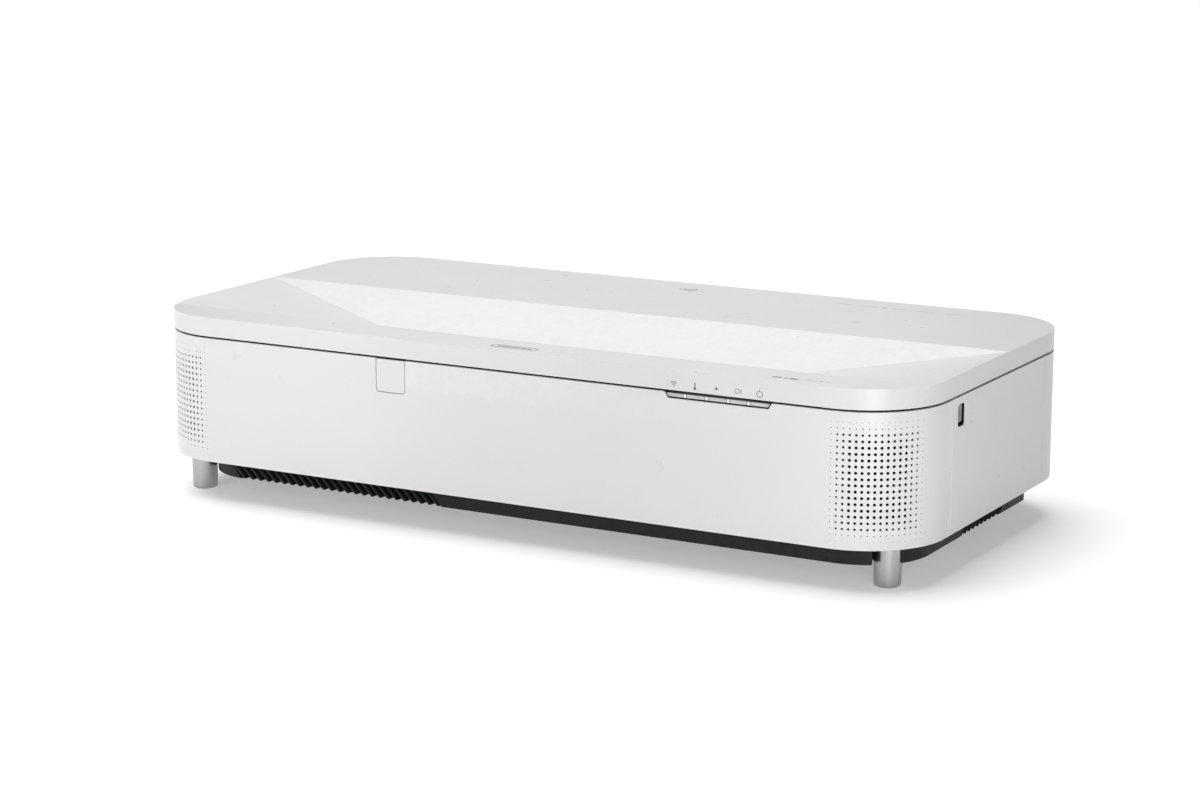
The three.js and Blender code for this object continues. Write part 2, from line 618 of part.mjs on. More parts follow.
const integrator = solid(rod(18, -2.5, 2.5, 24).rotateY(Math.PI / 2).translate(0, 0, ENGINE_Z));
piece("integrator_lens", integrator.add(block(-2, 2, -10, 10, DECK_Z, ENGINE_Z - 10)), "glass")
  .position.set(-92, 62, 0);

const wheel = turnedRing([[3, -0.8], [25, -0.8], [25, 0.8], [3, 0.8]], 36).rotateY(Math.PI / 2);
piece("phosphor_wheel", wheel, "satinMetal").position.set(-120, 62, ENGINE_Z);

function wheelMotor() {
  const can = rod(11, -24, -1.4, 24);
  const shaft = rod(2.6, -2, 1.6, 12);
  const foot = block(-20, -8, -10, 10, DECK_Z - ENGINE_Z, -8);
  return union([solid(can.rotateY(Math.PI / 2)), solid(shaft.rotateY(Math.PI / 2)), foot]);
}

piece("wheel_motor", wheelMotor(), "blackPlastic").position.set(-120, 62, ENGINE_Z);

piece("laser_module", block(-214, -160, 32, 86, DECK_Z, 104), "copper");

// Fins run towards the exhaust fan.
function laserHeatsink() {
  const plate = block(-222, -214.5, 30, 88, DECK_Z + 2, 112);
  const fins = slotRow(10, 6, (offset) =>
    block(-300, -221, 59 + offset - 0.8, 59 + offset + 0.8, DECK_Z + 2, 112));
  return union([plate, ...fins]);
}

piece("laser_heatsink", laserHeatsink(), "satinMetal");

// ---------------------------------------------------------------- boards and power

piece("main_board", union([
  block(-150, 150, 92.4, 94, 42, 99),
  block(-12, 24, 89, 93, 58, 94),
  block(50, 70, 90, 93, 60, 80),
  block(-60, -40, 90.5, 93, 55, 70),
]), "board");

function powerSupply() {
  const cage = block(74, 236, 4, 84, DECK_Z, 100);
  const vents = slotRow(8, 18, (offset) => block(155 + offset - 4, 155 + offset + 4, 20, 70, 97, 110));
  return cut(cage, vents);
}

piece("power_supply", powerSupply(), "satinMetal");

// ---------------------------------------------------------------- fans and filter

const FAN = { half: 40, bore: 37, thick: 20 };

// Axial fan around X, at its own centre.
function fanFrame() {
  const { half, bore, thick } = FAN;
  const shell = block(-thick / 2, thick / 2, -half, half, -half, half)
    .subtract(solid(rod(bore, -thick, thick, 36).rotateY(Math.PI / 2)));
  const hub = solid(rod(14, thick / 2 - 3, thick / 2, 20).rotateY(Math.PI / 2));
  const arms = [0, 60, 120].map((angle) => {
    const arm = new THREE.BoxGeometry(3, 2 * bore + 2, 4);
    return solid(arm.translate(thick / 2 - 1.5, 0, 0).rotateX(angle * TURN));
  });
  return union([shell, hub, ...arms]);
}

function fanRotor() {
  const hub = solid(rod(15, -9, 6, 20).rotateY(Math.PI / 2));
  const blades = Array.from({ length: 7 }, (_, i) => {
    const blade = new THREE.BoxGeometry(1.4, 16, 21);
    blade.rotateZ(42 * TURN);
    blade.translate(-1.5, 0, 24);
    return solid(blade.rotateX(i * 2 * Math.PI / 7));
  });
  return union([hub, ...blades]);
}

const FANS = [["exhaust", -326, 58, 82], ["intake", 262, 5, 82]];
for (const [word, x, y, z] of FANS) {
  piece(word + "_fan_frame", fanFrame(), "blackPlastic").position.set(x, y, z);
  piece(word + "_fan_rotor", fanRotor(), "blackPlastic").position.set(x, y, z);
}

// Pleated air filter behind the side cover.
function airFilter() {
  const frame = block(322, 336, -28, 60, 44, 120);
  const grooves = slotRow(10, 6.6, (offset) => plateXZ(
    [[330, 82 + offset - 2.2], [340, 82 + offset - 3], [340, 82 + offset + 3], [330, 82 + offset + 2.2]],
    -24, 56));
  return cut(frame, grooves);
}

piece("air_filter", airFilter(), "filterFoam");

// ---------------------------------------------------------------- speakers

const SPEAKER = { angle: 33, reach: 50, z: 88, r: 32 };

for (const [word, side] of [["left", -1], ["right", 1]]) {
  const speaker = new THREE.Group();
  const lean = SPEAKER.angle * TURN;
  speaker.position.set(side * (HALF_W - CORNER_R + SPEAKER.reach * Math.sin(lean)),
    -HALF_D + CORNER_R - SPEAKER.reach * Math.cos(lean), SPEAKER.z);
  speaker.rotation.set(0, 0, side * lean);
  projector.add(speaker);
  const basket = turned([
    [0, -30], [17, -30], [17, -18], [SPEAKER.r - 4, -6], [SPEAKER.r - 4, -2.5], [SPEAKER.r, -2.5],
    [SPEAKER.r, 0], [SPEAKER.r - 3, 0], [SPEAKER.r - 7, -5], [15, -14], [0, -14],
  ], 28);
  piece("speaker_" + word, basket.rotateX(Math.PI / 2), "blackPlastic", speaker);
  const cone = turned([[0, -10], [8, -10], [24, -2.6], [24, -0.8], [8, -8], [5, -6], [0, -5.4]], 28);
  piece("speaker_cone_" + word, cone.rotateX(Math.PI / 2), "cone", speaker);
}

export default projector;
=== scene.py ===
import json
import math

import bmesh
import bpy
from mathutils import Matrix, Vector


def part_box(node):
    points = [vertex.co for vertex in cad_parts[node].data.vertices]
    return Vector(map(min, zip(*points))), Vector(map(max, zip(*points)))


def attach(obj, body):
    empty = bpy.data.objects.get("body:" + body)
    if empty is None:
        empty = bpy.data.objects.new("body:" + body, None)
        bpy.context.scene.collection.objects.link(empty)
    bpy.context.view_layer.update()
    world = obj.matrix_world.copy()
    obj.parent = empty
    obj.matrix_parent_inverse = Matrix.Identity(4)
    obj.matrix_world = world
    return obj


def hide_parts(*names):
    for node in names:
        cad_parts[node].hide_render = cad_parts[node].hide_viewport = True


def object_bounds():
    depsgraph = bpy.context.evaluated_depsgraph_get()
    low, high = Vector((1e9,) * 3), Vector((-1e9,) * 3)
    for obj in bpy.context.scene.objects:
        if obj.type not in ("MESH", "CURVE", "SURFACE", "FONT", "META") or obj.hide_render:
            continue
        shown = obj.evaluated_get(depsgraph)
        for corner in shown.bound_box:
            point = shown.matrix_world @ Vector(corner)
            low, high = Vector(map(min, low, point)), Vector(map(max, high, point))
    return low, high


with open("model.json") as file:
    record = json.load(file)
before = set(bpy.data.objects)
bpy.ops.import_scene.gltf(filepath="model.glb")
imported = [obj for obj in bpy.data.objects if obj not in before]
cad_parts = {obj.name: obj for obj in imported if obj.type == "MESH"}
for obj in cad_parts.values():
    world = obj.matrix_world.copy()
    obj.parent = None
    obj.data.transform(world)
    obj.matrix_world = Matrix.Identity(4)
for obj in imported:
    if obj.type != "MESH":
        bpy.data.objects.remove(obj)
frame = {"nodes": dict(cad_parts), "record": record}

cad_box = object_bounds()

# Shapes are worked out in millimetres and scaled once, when a mesh is made.
# Materials, lights and the camera are in metres.
MM = 0.001
HALF_W = cad_box[1][0] / MM
HALF_D = cad_box[1][1] / MM
TOP = cad_box[1][2] / MM

CORNER_R = 66.0  # outer radius of the housing's upright corners
WALL = 2.5
CLEAR = 5.0  # how far a cutting tool runs past the surface that it cuts
LARGE_RADIUS = 10.0  # a corner above this radius is drawn in finer steps
ARC_STEPS, SMALL_STEPS = 30, 6
WELD = 1e-6  # metres; closer points are made one before edges are rounded


def node_box(node):
    """Lowest and highest corner of a CAD node, in millimetres."""
    low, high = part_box(node)
    return [c / MM for c in low], [c / MM for c in high]


# ---------------------------------------------------------------- mesh helpers


def mesh_object(name, vertices, faces):
    mesh = bpy.data.meshes.new(name)
    mesh.from_pydata([[c * MM for c in v] for v in vertices], [], faces)
    obj = bpy.data.objects.new(name, mesh)
    bpy.context.scene.collection.objects.link(obj)
    bm = bmesh.new()
    bm.from_mesh(mesh)
    bmesh.ops.recalc_face_normals(bm, faces=bm.faces)
    bm.to_mesh(mesh)
    bm.free()
    return obj


def prism(name, outline, place, low, high):
    """A closed outline pushed from low to high; place(u, v, w) gives the point."""
    n = len(outline)
    vertices = [place(u, v, w) for w in (low, high) for u, v in outline]
    faces = [list(range(n)), list(range(n, 2 * n))]
    faces += [[i, (i + 1) % n, n + (i + 1) % n, n + i] for i in range(n)]
    return mesh_object(name, vertices, faces)


def upright(x, y, z):
    return (x, y, z)


def facing_front(x, z, y):
    return (x, y, z)


def facing_side(y, z, x):
    return (x, y, z)


def rounded_rectangle(x0, x1, y0, y1, radii):
    """Outline, counter-clockwise; radii run low-low, high-low, high-high, low-high."""
    corners = [(x0, y0, 1, 1, 180), (x1, y0, -1, 1, 270), (x1, y1, -1, -1, 0), (x0, y1, 1, -1, 90)]
    points = []
    for (cx, cy, sx, sy, start), r in zip(corners, radii):
        if r <= 0:
            points.append((cx, cy))
            continue
        count = ARC_STEPS if r > LARGE_RADIUS else SMALL_STEPS
        for k in range(count + 1):
            a = math.radians(start) + math.pi / 2 * k / count
            points.append((cx + sx * r + r * math.cos(a), cy + sy * r + r * math.sin(a)))
    return points


def housing_outline(inset=0.0):
    r = CORNER_R - inset
    return rounded_rectangle(-HALF_W + inset, HALF_W - inset, -HALF_D + inset, HALF_D - inset, [r] * 4)


def tablet(name, x0, x1, y0, y1, r, place, low, high):
    """A plate with four equal round corners."""
    return prism(name, rounded_rectangle(x0, x1, y0, y1, [r] * 4), place, low, high)


def block(name, x0, x1, y0, y1, z0, z1):
    return prism(name, [(x0, y0), (x1, y0), (x1, y1), (x0, y1)], upright, z0, z1)


def join(name, objects):
    """Several meshes as one object, each staying its own closed body."""
    bm = bmesh.new()
    for o in objects:
        bm.from_mesh(o.data)
    mesh = bpy.data.meshes.new(name)
    bm.to_mesh(mesh)
    bm.free()
    discard(objects)
    obj = bpy.data.objects.new(name, mesh)
    bpy.context.scene.collection.objects.link(obj)
    return obj


def discard(objects):
    for o in objects:
        mesh = o.data
        bpy.data.objects.remove(o)
        bpy.data.meshes.remove(mesh)


def combine(target, tools, operation="DIFFERENCE"):
    """Cuts tools from target, or joins them to it, and removes them."""
    for tool in tools:
        modifier = target.modifiers.new("combine", "BOOLEAN")
        modifier.operation = operation
        modifier.solver = "EXACT"
        modifier.object = tool
    apply_modifiers(target)
    discard(tools)
    return target


def apply_modifiers(obj):
    bpy.context.view_layer.update()
    evaluated = obj.evaluated_get(bpy.context.evaluated_depsgraph_get())
    mesh = bpy.data.meshes.new_from_object(evaluated)
    old = obj.data
    obj.modifiers.clear()
    obj.data = mesh
    bpy.data.meshes.remove(old)
    mesh.name = obj.name


def round_edges(obj, width, wanted=None, angle=30, segments=3):
    """Rounds the edges sharper than angle whose two ends are wanted (a test in millimetres)."""
    bm = bmesh.new()
    bm.from_mesh(obj.data)
    bmesh.ops.remove_doubles(bm, verts=bm.verts, dist=WELD)
    bmesh.ops.dissolve_degenerate(bm, dist=WELD, edges=bm.edges)
    edges = []
    for edge in bm.edges:
        if len(edge.link_faces) != 2 or edge.calc_face_angle(0) < math.radians(angle):
            continue
        if wanted is None or all(wanted(*(c / MM for c in v.co)) for v in edge.verts):
            edges.append(edge)
    bmesh.ops.bevel(bm, geom=edges, offset=width * MM, offset_type="OFFSET", segments=segments,
                    profile=0.5, affect="EDGES", clamp_overlap=True)
    bm.to_mesh(obj.data)
    bm.free()
    return obj


def turned(name, profile, place, steps=64):
    """A solid of revolution; profile holds (radius, height) from axis to axis."""
    ring = [(math.cos(2 * math.pi * k / steps), math.sin(2 * math.pi * k / steps)) for k in range(steps)]
    vertices, rows = [], []
    for r, h in profile:
        if r == 0:
            rows.append([len(vertices)] * steps)
            vertices.append(place(0, 0, h))
        else:
            rows.append([len(vertices) + k for k in range(steps)])
            vertices += [place(r * c, r * s, h) for c, s in ring]
    faces = []
    for a, b in zip(rows, rows[1:]):
        for k in range(steps):
            corners = [a[k], a[(k + 1) % steps], b[(k + 1) % steps], b[k]]
            faces.append(list(dict.fromkeys(corners)))
    return mesh_object(name, vertices, faces)


def smooth(obj, angle=35):
    obj.data.shade_smooth()
    obj.data.set_sharp_from_angle(angle=math.radians(angle))
    weighted = obj.modifiers.new("weighted normals", "WEIGHTED_NORMAL")
    weighted.keep_sharp = True
    weighted.weight = 80


def place_piece(obj, material, body="housing", nodes=(), angle=35):
    """Gives a piece its look, its body and the CAD nodes that it stands for."""
    smooth(obj, angle)
    obj.data.materials.clear()
    obj.data.materials.append(material)
    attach(obj, body)
    if nodes:
        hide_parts(*nodes)
    return obj


# ---------------------------------------------------------------- materials


NOISE_SPAN = (0.3, 0.7)  # the part of a noise's range that carries most of its values


class Nodes:
    """A small builder for a material's node tree."""

    def __init__(self, name):
        self.material = bpy.data.materials.new(name)
        self.material.use_nodes = True
        self.tree = self.material.node_tree
        self.shader = self.tree.nodes["Principled BSDF"]

    def add(self, kind, **values):
        node = self.tree.nodes.new(kind)
        for key, value in values.items():
            if key in node.inputs:
                node.inputs[key].default_value = value
            else:
                setattr(node, key, value)
        return node

    def link(self, a, b):
        self.tree.links.new(a, b)

    def coordinates(self, scale=(1, 1, 1)):
        place = self.add("ShaderNodeTexCoord")
        mapping = self.add("ShaderNodeMapping")
        mapping.inputs["Scale"].default_value = scale
        self.link(place.outputs["Object"], mapping.inputs["Vector"])
        return mapping.outputs["Vector"]

    def noise(self, vector, scale, detail=3.0, roughness=0.5):
        node = self.add("ShaderNodeTexNoise")
        node.inputs["Scale"].default_value = scale
        node.inputs["Detail"].default_value = detail
        node.inputs["Roughness"].default_value = roughness
        self.link(vector, node.inputs["Vector"])
        return node.outputs["Fac"]

    def spread(self, value, low, high, source=NOISE_SPAN):
        node = self.add("ShaderNodeMapRange")
        node.inputs["From Min"].default_value = source[0]
        node.inputs["From Max"].default_value = source[1]
        node.inputs["To Min"].default_value = low
        node.inputs["To Max"].default_value = high
        self.link(value, node.inputs["Value"])
        return node.outputs["Result"]

    def tint(self, value, dark, light):
        node = self.add("ShaderNodeValToRGB")
        ends = node.color_ramp.elements
        ends[0].position, ends[1].position = NOISE_SPAN
        ends[0].color = (*dark, 1)
        ends[1].color = (*light, 1)
        self.link(value, node.inputs["Fac"])
        return node.outputs["Color"]

    def mix(self, factor, first, second):
        node = self.add("ShaderNodeMix", data_type="RGBA")
        self.link(factor, node.inputs["Factor"])
        self.link(first, node.inputs[6])
        self.link(second, node.inputs[7])
        return node.outputs[2]

    def worn_edges(self, color, worn, amount=0.35):
        """Lightens the convex edges, broken up by a noise."""
        edge = self.add("ShaderNodeNewGeometry").outputs["Pointiness"]
        along = self.spread(edge, 0, amount, (0.52, 0.6))
        broken = self.spread(self.noise(self.coordinates(), 160), 0.2, 1)
        both = self.add("ShaderNodeMath", operation="MULTIPLY")
        self.link(along, both.inputs[0])
        self.link(broken, both.inputs[1])
        bright = self.tint(self.noise(self.coordinates(), 90), worn, [min(1, c * 1.05) for c in worn])
        return self.mix(both.outputs[0], color, bright)

    def bump(self, height, distance, strength=1.0, under=None):
        node = self.add("ShaderNodeBump")
        node.inputs["Distance"].default_value = distance
        node.inputs["Strength"].default_value = strength
        self.link(height, node.inputs["Height"])
        if under is not None:
            self.link(under, node.inputs["Normal"])
        return node.outputs["Normal"]

    def output(self, color=None, roughness=None, normal=None, **constants):
        if color is not None:
            self.link(color, self.shader.inputs["Base Color"])
        if roughness is not None:
            self.link(roughness, self.shader.inputs["Roughness"])
        if normal is not None:
            self.link(normal, self.shader.inputs["Normal"])
        for key, value in constants.items():
            self.shader.inputs[key.replace("_", " ")].default_value = value
        return self.material


def moulded(name, dark, light, roughness, grain=1600, depth=0.00002, worn=None, **constants):
    """Moulded plastic: faint colour drift, uneven gloss, fine grain and a slow waviness."""
    n = Nodes(name)
    place = n.coordinates()
    color = n.tint(n.noise(place, 9, 4), dark, light)
    if worn:
        color = n.worn_edges(color, worn)
    gloss = n.spread(n.noise(place, 60, 5, 0.65), *roughness)
    wave = n.bump(n.noise(place, 14, 2), 0.0002, 0.12)
    grained = n.bump(n.noise(place, grain, 2, 0.6), depth, 0.35, wave)
    return n.output(color, gloss, grained, **constants)


def brushed(name, dark, light, roughness, stretch, lines=220):
    """Metal with fine lines; stretch flattens the noise along the brushing."""
    n = Nodes(name)
    line_place = n.coordinates(stretch)
    color = n.tint(n.noise(line_place, lines, 4, 0.7), dark, light)
    color = n.worn_edges(color, [min(1, c * 1.2) for c in light], 0.5)
    gloss = n.spread(n.noise(n.coordinates(), 45, 4), *roughness)
    marked = n.bump(n.noise(line_place, lines * 2, 3, 0.6), 0.00002, 0.35)
    return n.output(color, gloss, marked, Metallic=1.0)


def cast_metal():
    n = Nodes("cast_metal")
    place = n.coordinates()
    color = n.tint(n.noise(place, 70, 6, 0.7), (0.30, 0.31, 0.32), (0.46, 0.47, 0.49))
    gloss = n.spread(n.noise(place, 200, 4), 0.42, 0.66)
    pitted = n.bump(n.noise(place, 900, 3), 0.00008, 0.6)
    return n.output(color, gloss, pitted, Metallic=0.9)


def clear_glass():
    n = Nodes("coated_glass")
    place = n.coordinates()
    color = n.tint(n.noise(place, 25, 3), (0.74, 0.82, 0.86), (0.86, 0.90, 0.95))
    gloss = n.spread(n.noise(place, 80, 5, 0.7), 0.01, 0.07)
    return n.output(color, gloss, Transmission_Weight=0.9, IOR=1.5, Coat_Weight=0.5)


def silvered():
    n = Nodes("silvered_mirror")
    place = n.coordinates()
    color = n.tint(n.noise(place, 20, 3), (0.88, 0.89, 0.90), (0.95, 0.95, 0.96))
    gloss = n.spread(n.noise(place, 60, 5, 0.7), 0.01, 0.05)
    return n.output(color, gloss, Metallic=1.0)


def circuit_board():
    n = Nodes("circuit_board")
    place = n.coordinates()
    traces = n.add("ShaderNodeTexBrick")
    traces.inputs["Scale"].default_value = 120
    traces.inputs["Mortar Size"].default_value = 0.03
    traces.inputs["Color1"].default_value = (0.012, 0.085, 0.035, 1)
    traces.inputs["Color2"].default_value = (0.016, 0.11, 0.045, 1)
    traces.inputs["Mortar"].default_value = (0.05, 0.22, 0.10, 1)
    turned_place = n.add("ShaderNodeMapping")
    turned_place.inputs["Rotation"].default_value = (math.pi / 2, 0, 0)
    n.link(place, turned_place.inputs["Vector"])
    n.link(turned_place.outputs["Vector"], traces.inputs["Vector"])
    gloss = n.spread(n.noise(place, 90, 4), 0.25, 0.5)
    raised = n.bump(traces.outputs["Fac"], 0.00005, 0.5)
    return n.output(traces.outputs["Color"], gloss, raised)


def filter_felt():
    n = Nodes("filter_felt")
    place = n.coordinates()
    fibre = n.noise(n.coordinates((1, 3, 3)), 1400, 5, 0.8)
    color = n.tint(fibre, (0.50, 0.50, 0.47), (0.74, 0.73, 0.69))
    gloss = n.spread(n.noise(place, 200, 3), 0.85, 1.0)
    return n.output(color, gloss, n.bump(fibre, 0.0002, 0.8), Sheen_Weight=0.3)


WHITE = moulded("white_shell", (0.68, 0.682, 0.685), (0.705, 0.705, 0.705), (0.27, 0.38), depth=0.00001,
                worn=(0.79, 0.79, 0.79))
WHITE_GLOSS = moulded("window_cap", (0.76, 0.765, 0.77), (0.79, 0.79, 0.79), (0.16, 0.26), depth=0.00001,
                      worn=(0.86, 0.86, 0.86), Coat_Weight=0.3, Coat_Roughness=0.08)
BLACK = moulded("black_plastic", (0.005, 0.005, 0.0055), (0.011, 0.011, 0.0115), (0.42, 0.6), grain=1300,
                depth=0.00005, worn=(0.03, 0.03, 0.031), Specular_IOR_Level=0.22)
LATCH_GREY = moulded("latch_grey", (0.165, 0.168, 0.171), (0.22, 0.223, 0.226), (0.3, 0.42),
                     worn=(0.55, 0.55, 0.55))
# Near-black, barely reflecting sheet behind the speaker holes: painted shade for the dark inside of the
# wall.
HOLE_SHADE = moulded("hole_shade_sheet", (0.002, 0.002, 0.002), (0.008, 0.008, 0.008), (0.85, 1.0), grain=900,
                depth=0.0002, Specular_IOR_Level=0.1)
GREY_GLOSS = moulded("light_bar", (0.40, 0.41, 0.42), (0.50, 0.51, 0.52), (0.10, 0.22), depth=0.00001,
                     worn=(0.7, 0.7, 0.7), Coat_Weight=0.6, Coat_Roughness=0.05)
LENS_WHITE = moulded("lamp_lens", (0.90, 0.91, 0.92), (0.98, 0.98, 0.98), (0.08, 0.16), depth=0.00001,
                     Emission_Color=(1, 1, 1, 1), Emission_Strength=0.25)
RUBBER = moulded("foot_rubber", (0.012, 0.012, 0.012), (0.024, 0.024, 0.024), (0.75, 0.95), grain=700,
                 depth=0.0001, worn=(0.05, 0.05, 0.05))
CONE = moulded("speaker_cone", (0.012, 0.012, 0.013), (0.03, 0.03, 0.03), (0.6, 0.85), grain=500,
               depth=0.0001)
INK = moulded("print_ink", (0.085, 0.087, 0.09), (0.13, 0.13, 0.135), (0.35, 0.5))
FAINT_INK = moulded("faint_print_ink", (0.42, 0.42, 0.43), (0.50, 0.50, 0.51), (0.35, 0.5))
FOOT_METAL = brushed("foot_metal", (0.38, 0.385, 0.39), (0.46, 0.465, 0.47), (0.28, 0.36), (1, 1, 14), 420)
PLATE_METAL = brushed("plate_metal", (0.46, 0.465, 0.47), (0.60, 0.60, 0.61), (0.3, 0.45), (14, 1, 1))
COPPER = brushed("copper", (0.62, 0.30, 0.17), (0.80, 0.42, 0.26), (0.25, 0.45), (1, 12, 1))
CAST = cast_metal()
GLASS = clear_glass()
SILVER = silvered()
BOARD = circuit_board()
FELT = filter_felt()

SLOT_LOOKS = {
    "white_shell": WHITE,
    "black_plastic": BLACK,
    "smoked_plastic": WHITE_GLOSS,
    "light_bar": GREY_GLOSS,
    "satin_metal": PLATE_METAL,
    "cast_metal": CAST,
    "copper": COPPER,
    "mirror": SILVER,
    "glass": GLASS,
    "rubber": RUBBER,
    "board": BOARD,
    "filter_foam": FELT,
    "cone": CONE,
}


def dress_frame():
    """Every CAD node that stays gets its slot's look and softened edges."""
    for part in frame["record"]["subparts"]:
        obj = frame["nodes"][part["node"]]
        for slot in obj.material_slots:
            slot.material = SLOT_LOOKS[part["material_slot"]]
        weld = obj.modifiers.new("weld", "WELD")
        weld.merge_threshold = 0.00001
        bevel = obj.modifiers.new("bevel", "BEVEL")
        bevel.width = 0.0003
        bevel.segments = 2
        bevel.limit_method = "ANGLE"
        bevel.angle_limit = math.radians(35)


# ---------------------------------------------------------------- top cover

COVER_Z0 = 139.3  # lower edge of the cover
RECESS_REAR = 18.0  # where the recess floor meets the top
RECESS_FRONT = -131.0  # where the front slope meets the top
VALLEY_Y = -84.0  # where floor and front slope meet, at the bottom
FLOOR_SLOPE = 0.42
FACET_SLOPE = 0.15
VALLEY_DEPTH = FLOOR_SLOPE * (RECESS_REAR - VALLEY_Y)
FRONT_SLOPE = VALLEY_DEPTH / (VALLEY_Y - RECESS_FRONT)
SIDE_X = HALF_W + 0.15  # the side facets run out just past the housing's sides


def recess_height(x, y):
    """Height of the recess surface, before it is cut off at the top."""
    floor = TOP - FLOOR_SLOPE * (RECESS_REAR - y)
    front = TOP - FRONT_SLOPE * (y - RECESS_FRONT)
    side = TOP - FACET_SLOPE * (SIDE_X - abs(x))
    return max(floor, front, side)


def recess_solid(name, drop, top):
    """The recess up to height top, its planes lowered square to themselves by drop."""
    floor_drop = drop * math.hypot(1, FLOOR_SLOPE)
    front_drop = drop * math.hypot(1, FRONT_SLOPE)
    side_drop = drop * math.hypot(1, FACET_SLOPE)
    rise = top - TOP
    rear_y = RECESS_REAR + (rise + floor_drop) / FLOOR_SLOPE
    front_y = RECESS_FRONT - (rise + front_drop) / FRONT_SLOPE
    side_x = SIDE_X + (rise + side_drop) / FACET_SLOPE
    valley_y = (FLOOR_SLOPE * RECESS_REAR + floor_drop + FRONT_SLOPE * RECESS_FRONT - front_drop) / (
        FLOOR_SLOPE + FRONT_SLOPE)
    depth = FLOOR_SLOPE * (RECESS_REAR - valley_y) + floor_drop
    valley_x = SIDE_X - (depth - side_drop) / FACET_SLOPE
    points = []
    for side in (-1, 1):
        points += [(side * side_x, rear_y, top), (side * side_x, front_y, top),
                   (side * valley_x, valley_y, TOP - depth)]
    faces = [[0, 2, 5, 3], [1, 4, 5, 2], [0, 1, 2], [3, 5, 4], [0, 3, 4, 1]]
    return mesh_object(name, points, faces)


SLOPE_TURN = math.atan(FRONT_SLOPE)
SLOPE_MIDDLE = (0, (RECESS_FRONT + VALLEY_Y) / 2, TOP - VALLEY_DEPTH / 2)


def on_slope(u, v, w):
    """A point in the front slope's frame: u across, v down the slope, w out of it."""
    c, s = math.cos(SLOPE_TURN), math.sin(SLOPE_TURN)
    return (u, SLOPE_MIDDLE[1] + v * c + w * s, SLOPE_MIDDLE[2] - v * s + w * c)


WINDOW = (-75, 75, -22, 20)  # the light opening, in the front slope's frame
WINDOW_REACH = 6  # how far the opening is cut to both sides of the slope
TUB_LOW = 60  # a height well under the recess
TUB_OVERLAP = 0.5  # makes the tub and the cover's lid one body


def top_cover():
    cover = prism("cover", housing_outline(), upright, COVER_Z0, TOP)
    combine(cover, [prism("inside", housing_outline(WALL), upright, COVER_Z0 - 1, TOP - WALL)])
    tub = recess_solid("tub", WALL, TOP - WALL + TUB_OVERLAP)
    combine(tub, [prism("bound", housing_outline(1), upright, TUB_LOW, TOP - 1)], "INTERSECT")
    combine(cover, [tub], "UNION")
    opening = tablet("opening", *WINDOW, 3, on_slope, -WINDOW_REACH, WINDOW_REACH)
    combine(cover, [recess_solid("recess", 0, TOP + CLEAR), opening])

    def seen(x, y, z):
        """True on the outer skin, which is where edges are rounded."""
        surface = min(TOP, recess_height(x, y))
        return abs(z - surface) < 0.05 or abs(z - COVER_Z0) < 0.05 and outside(x, y)

    round_edges(cover, 1.0, seen, angle=6, segments=4)
    return place_piece(cover, WHITE, nodes=["top_cover"])


def outside(x, y):
    """True on the housing's outer outline."""
    dx = max(0, abs(x) - (HALF_W - CORNER_R))
    dy = max(0, abs(y) - (HALF_D - CORNER_R))
    return abs(math.hypot(dx, dy) - CORNER_R) < 0.1 if dx and dy else max(dx, dy) > CORNER_R - 0.1


# ---------------------------------------------------------------- wrap-round wall panels

FLAT = HALF_W - CORNER_R  # straight length of a wall from the middle to its corner
ARC = CORNER_R * math.pi / 2  # length of the corner
WALL_Z0, WALL_Z1 = node_box("front_panel")[0][2], node_box("front_panel")[1][2]
SEAM_FRONT = node_box("front_panel")[1][1]
SEAM_REAR = node_box("rear_panel")[0][1]


def wall_point(s, depth, z, face=-1):
    """A point on a wall: s runs along the outline from the middle, depth goes inwards."""
    a = abs(s)
    if a <= FLAT:
        x, y, nx, ny = a, 0, 0, 1
    elif a <= FLAT + ARC:
        t = (a - FLAT) / CORNER_R
        nx, ny = math.sin(t), math.cos(t)
        x, y = FLAT + CORNER_R * nx, CORNER_R * (1 - ny)
    else:
        x, y, nx, ny = HALF_W, CORNER_R + a - FLAT - ARC, 1, 0
    return (math.copysign(1, s) * (x - nx * depth), face * (HALF_D - y - ny * depth), z)


# The speaker grille: rows and columns of holes that wrap the front corners.
HOLE_COLUMNS, HOLE_ROWS = 16, 20
HOLE_STEP_S, HOLE_STEP_Z = 4.77, 4.75
HOLE_FIRST_S = FLAT + 2.5
HOLE_TOP_Z = 129.9
HOLE_SIDES = 16  # a multiple of 4, so that each side of a cell meets a quarter of the hole
SKIN = 1.0  # thickness of the wall where it is perforated
GRID_S = [HOLE_FIRST_S + HOLE_STEP_S * (k - 0.5) for k in range(HOLE_COLUMNS + 1)]
GRID_Z = [HOLE_TOP_Z - HOLE_STEP_Z * (k - 0.5) for k in range(HOLE_ROWS, -1, -1)]


HOLE_R = 1.22
RADII_BY_COLUMN = (0.4, 0.86, 1.02)  # from the outermost column inwards, then HOLE_R
RADII_BY_ROW = (0.3, 0.47, 0.96, 1.1)


def hole_radius(column, row):
    """Radius of a speaker hole: the holes shrink towards the edges of the field."""
    across = min(column, HOLE_COLUMNS - 1 - column)
    down = min(row, HOLE_ROWS - 1 - row)
    by_column = RADII_BY_COLUMN[across] if across < len(RADII_BY_COLUMN) else HOLE_R
    by_row = RADII_BY_ROW[down] if down < len(RADII_BY_ROW) else HOLE_R
    return min(by_column, by_row)


def in_hole_field(s, z):
    margin = 0.01
    in_columns = GRID_S[0] - margin < abs(s) < GRID_S[-1] + margin
    return in_columns and GRID_Z[0] - margin < z < GRID_Z[-1] + margin


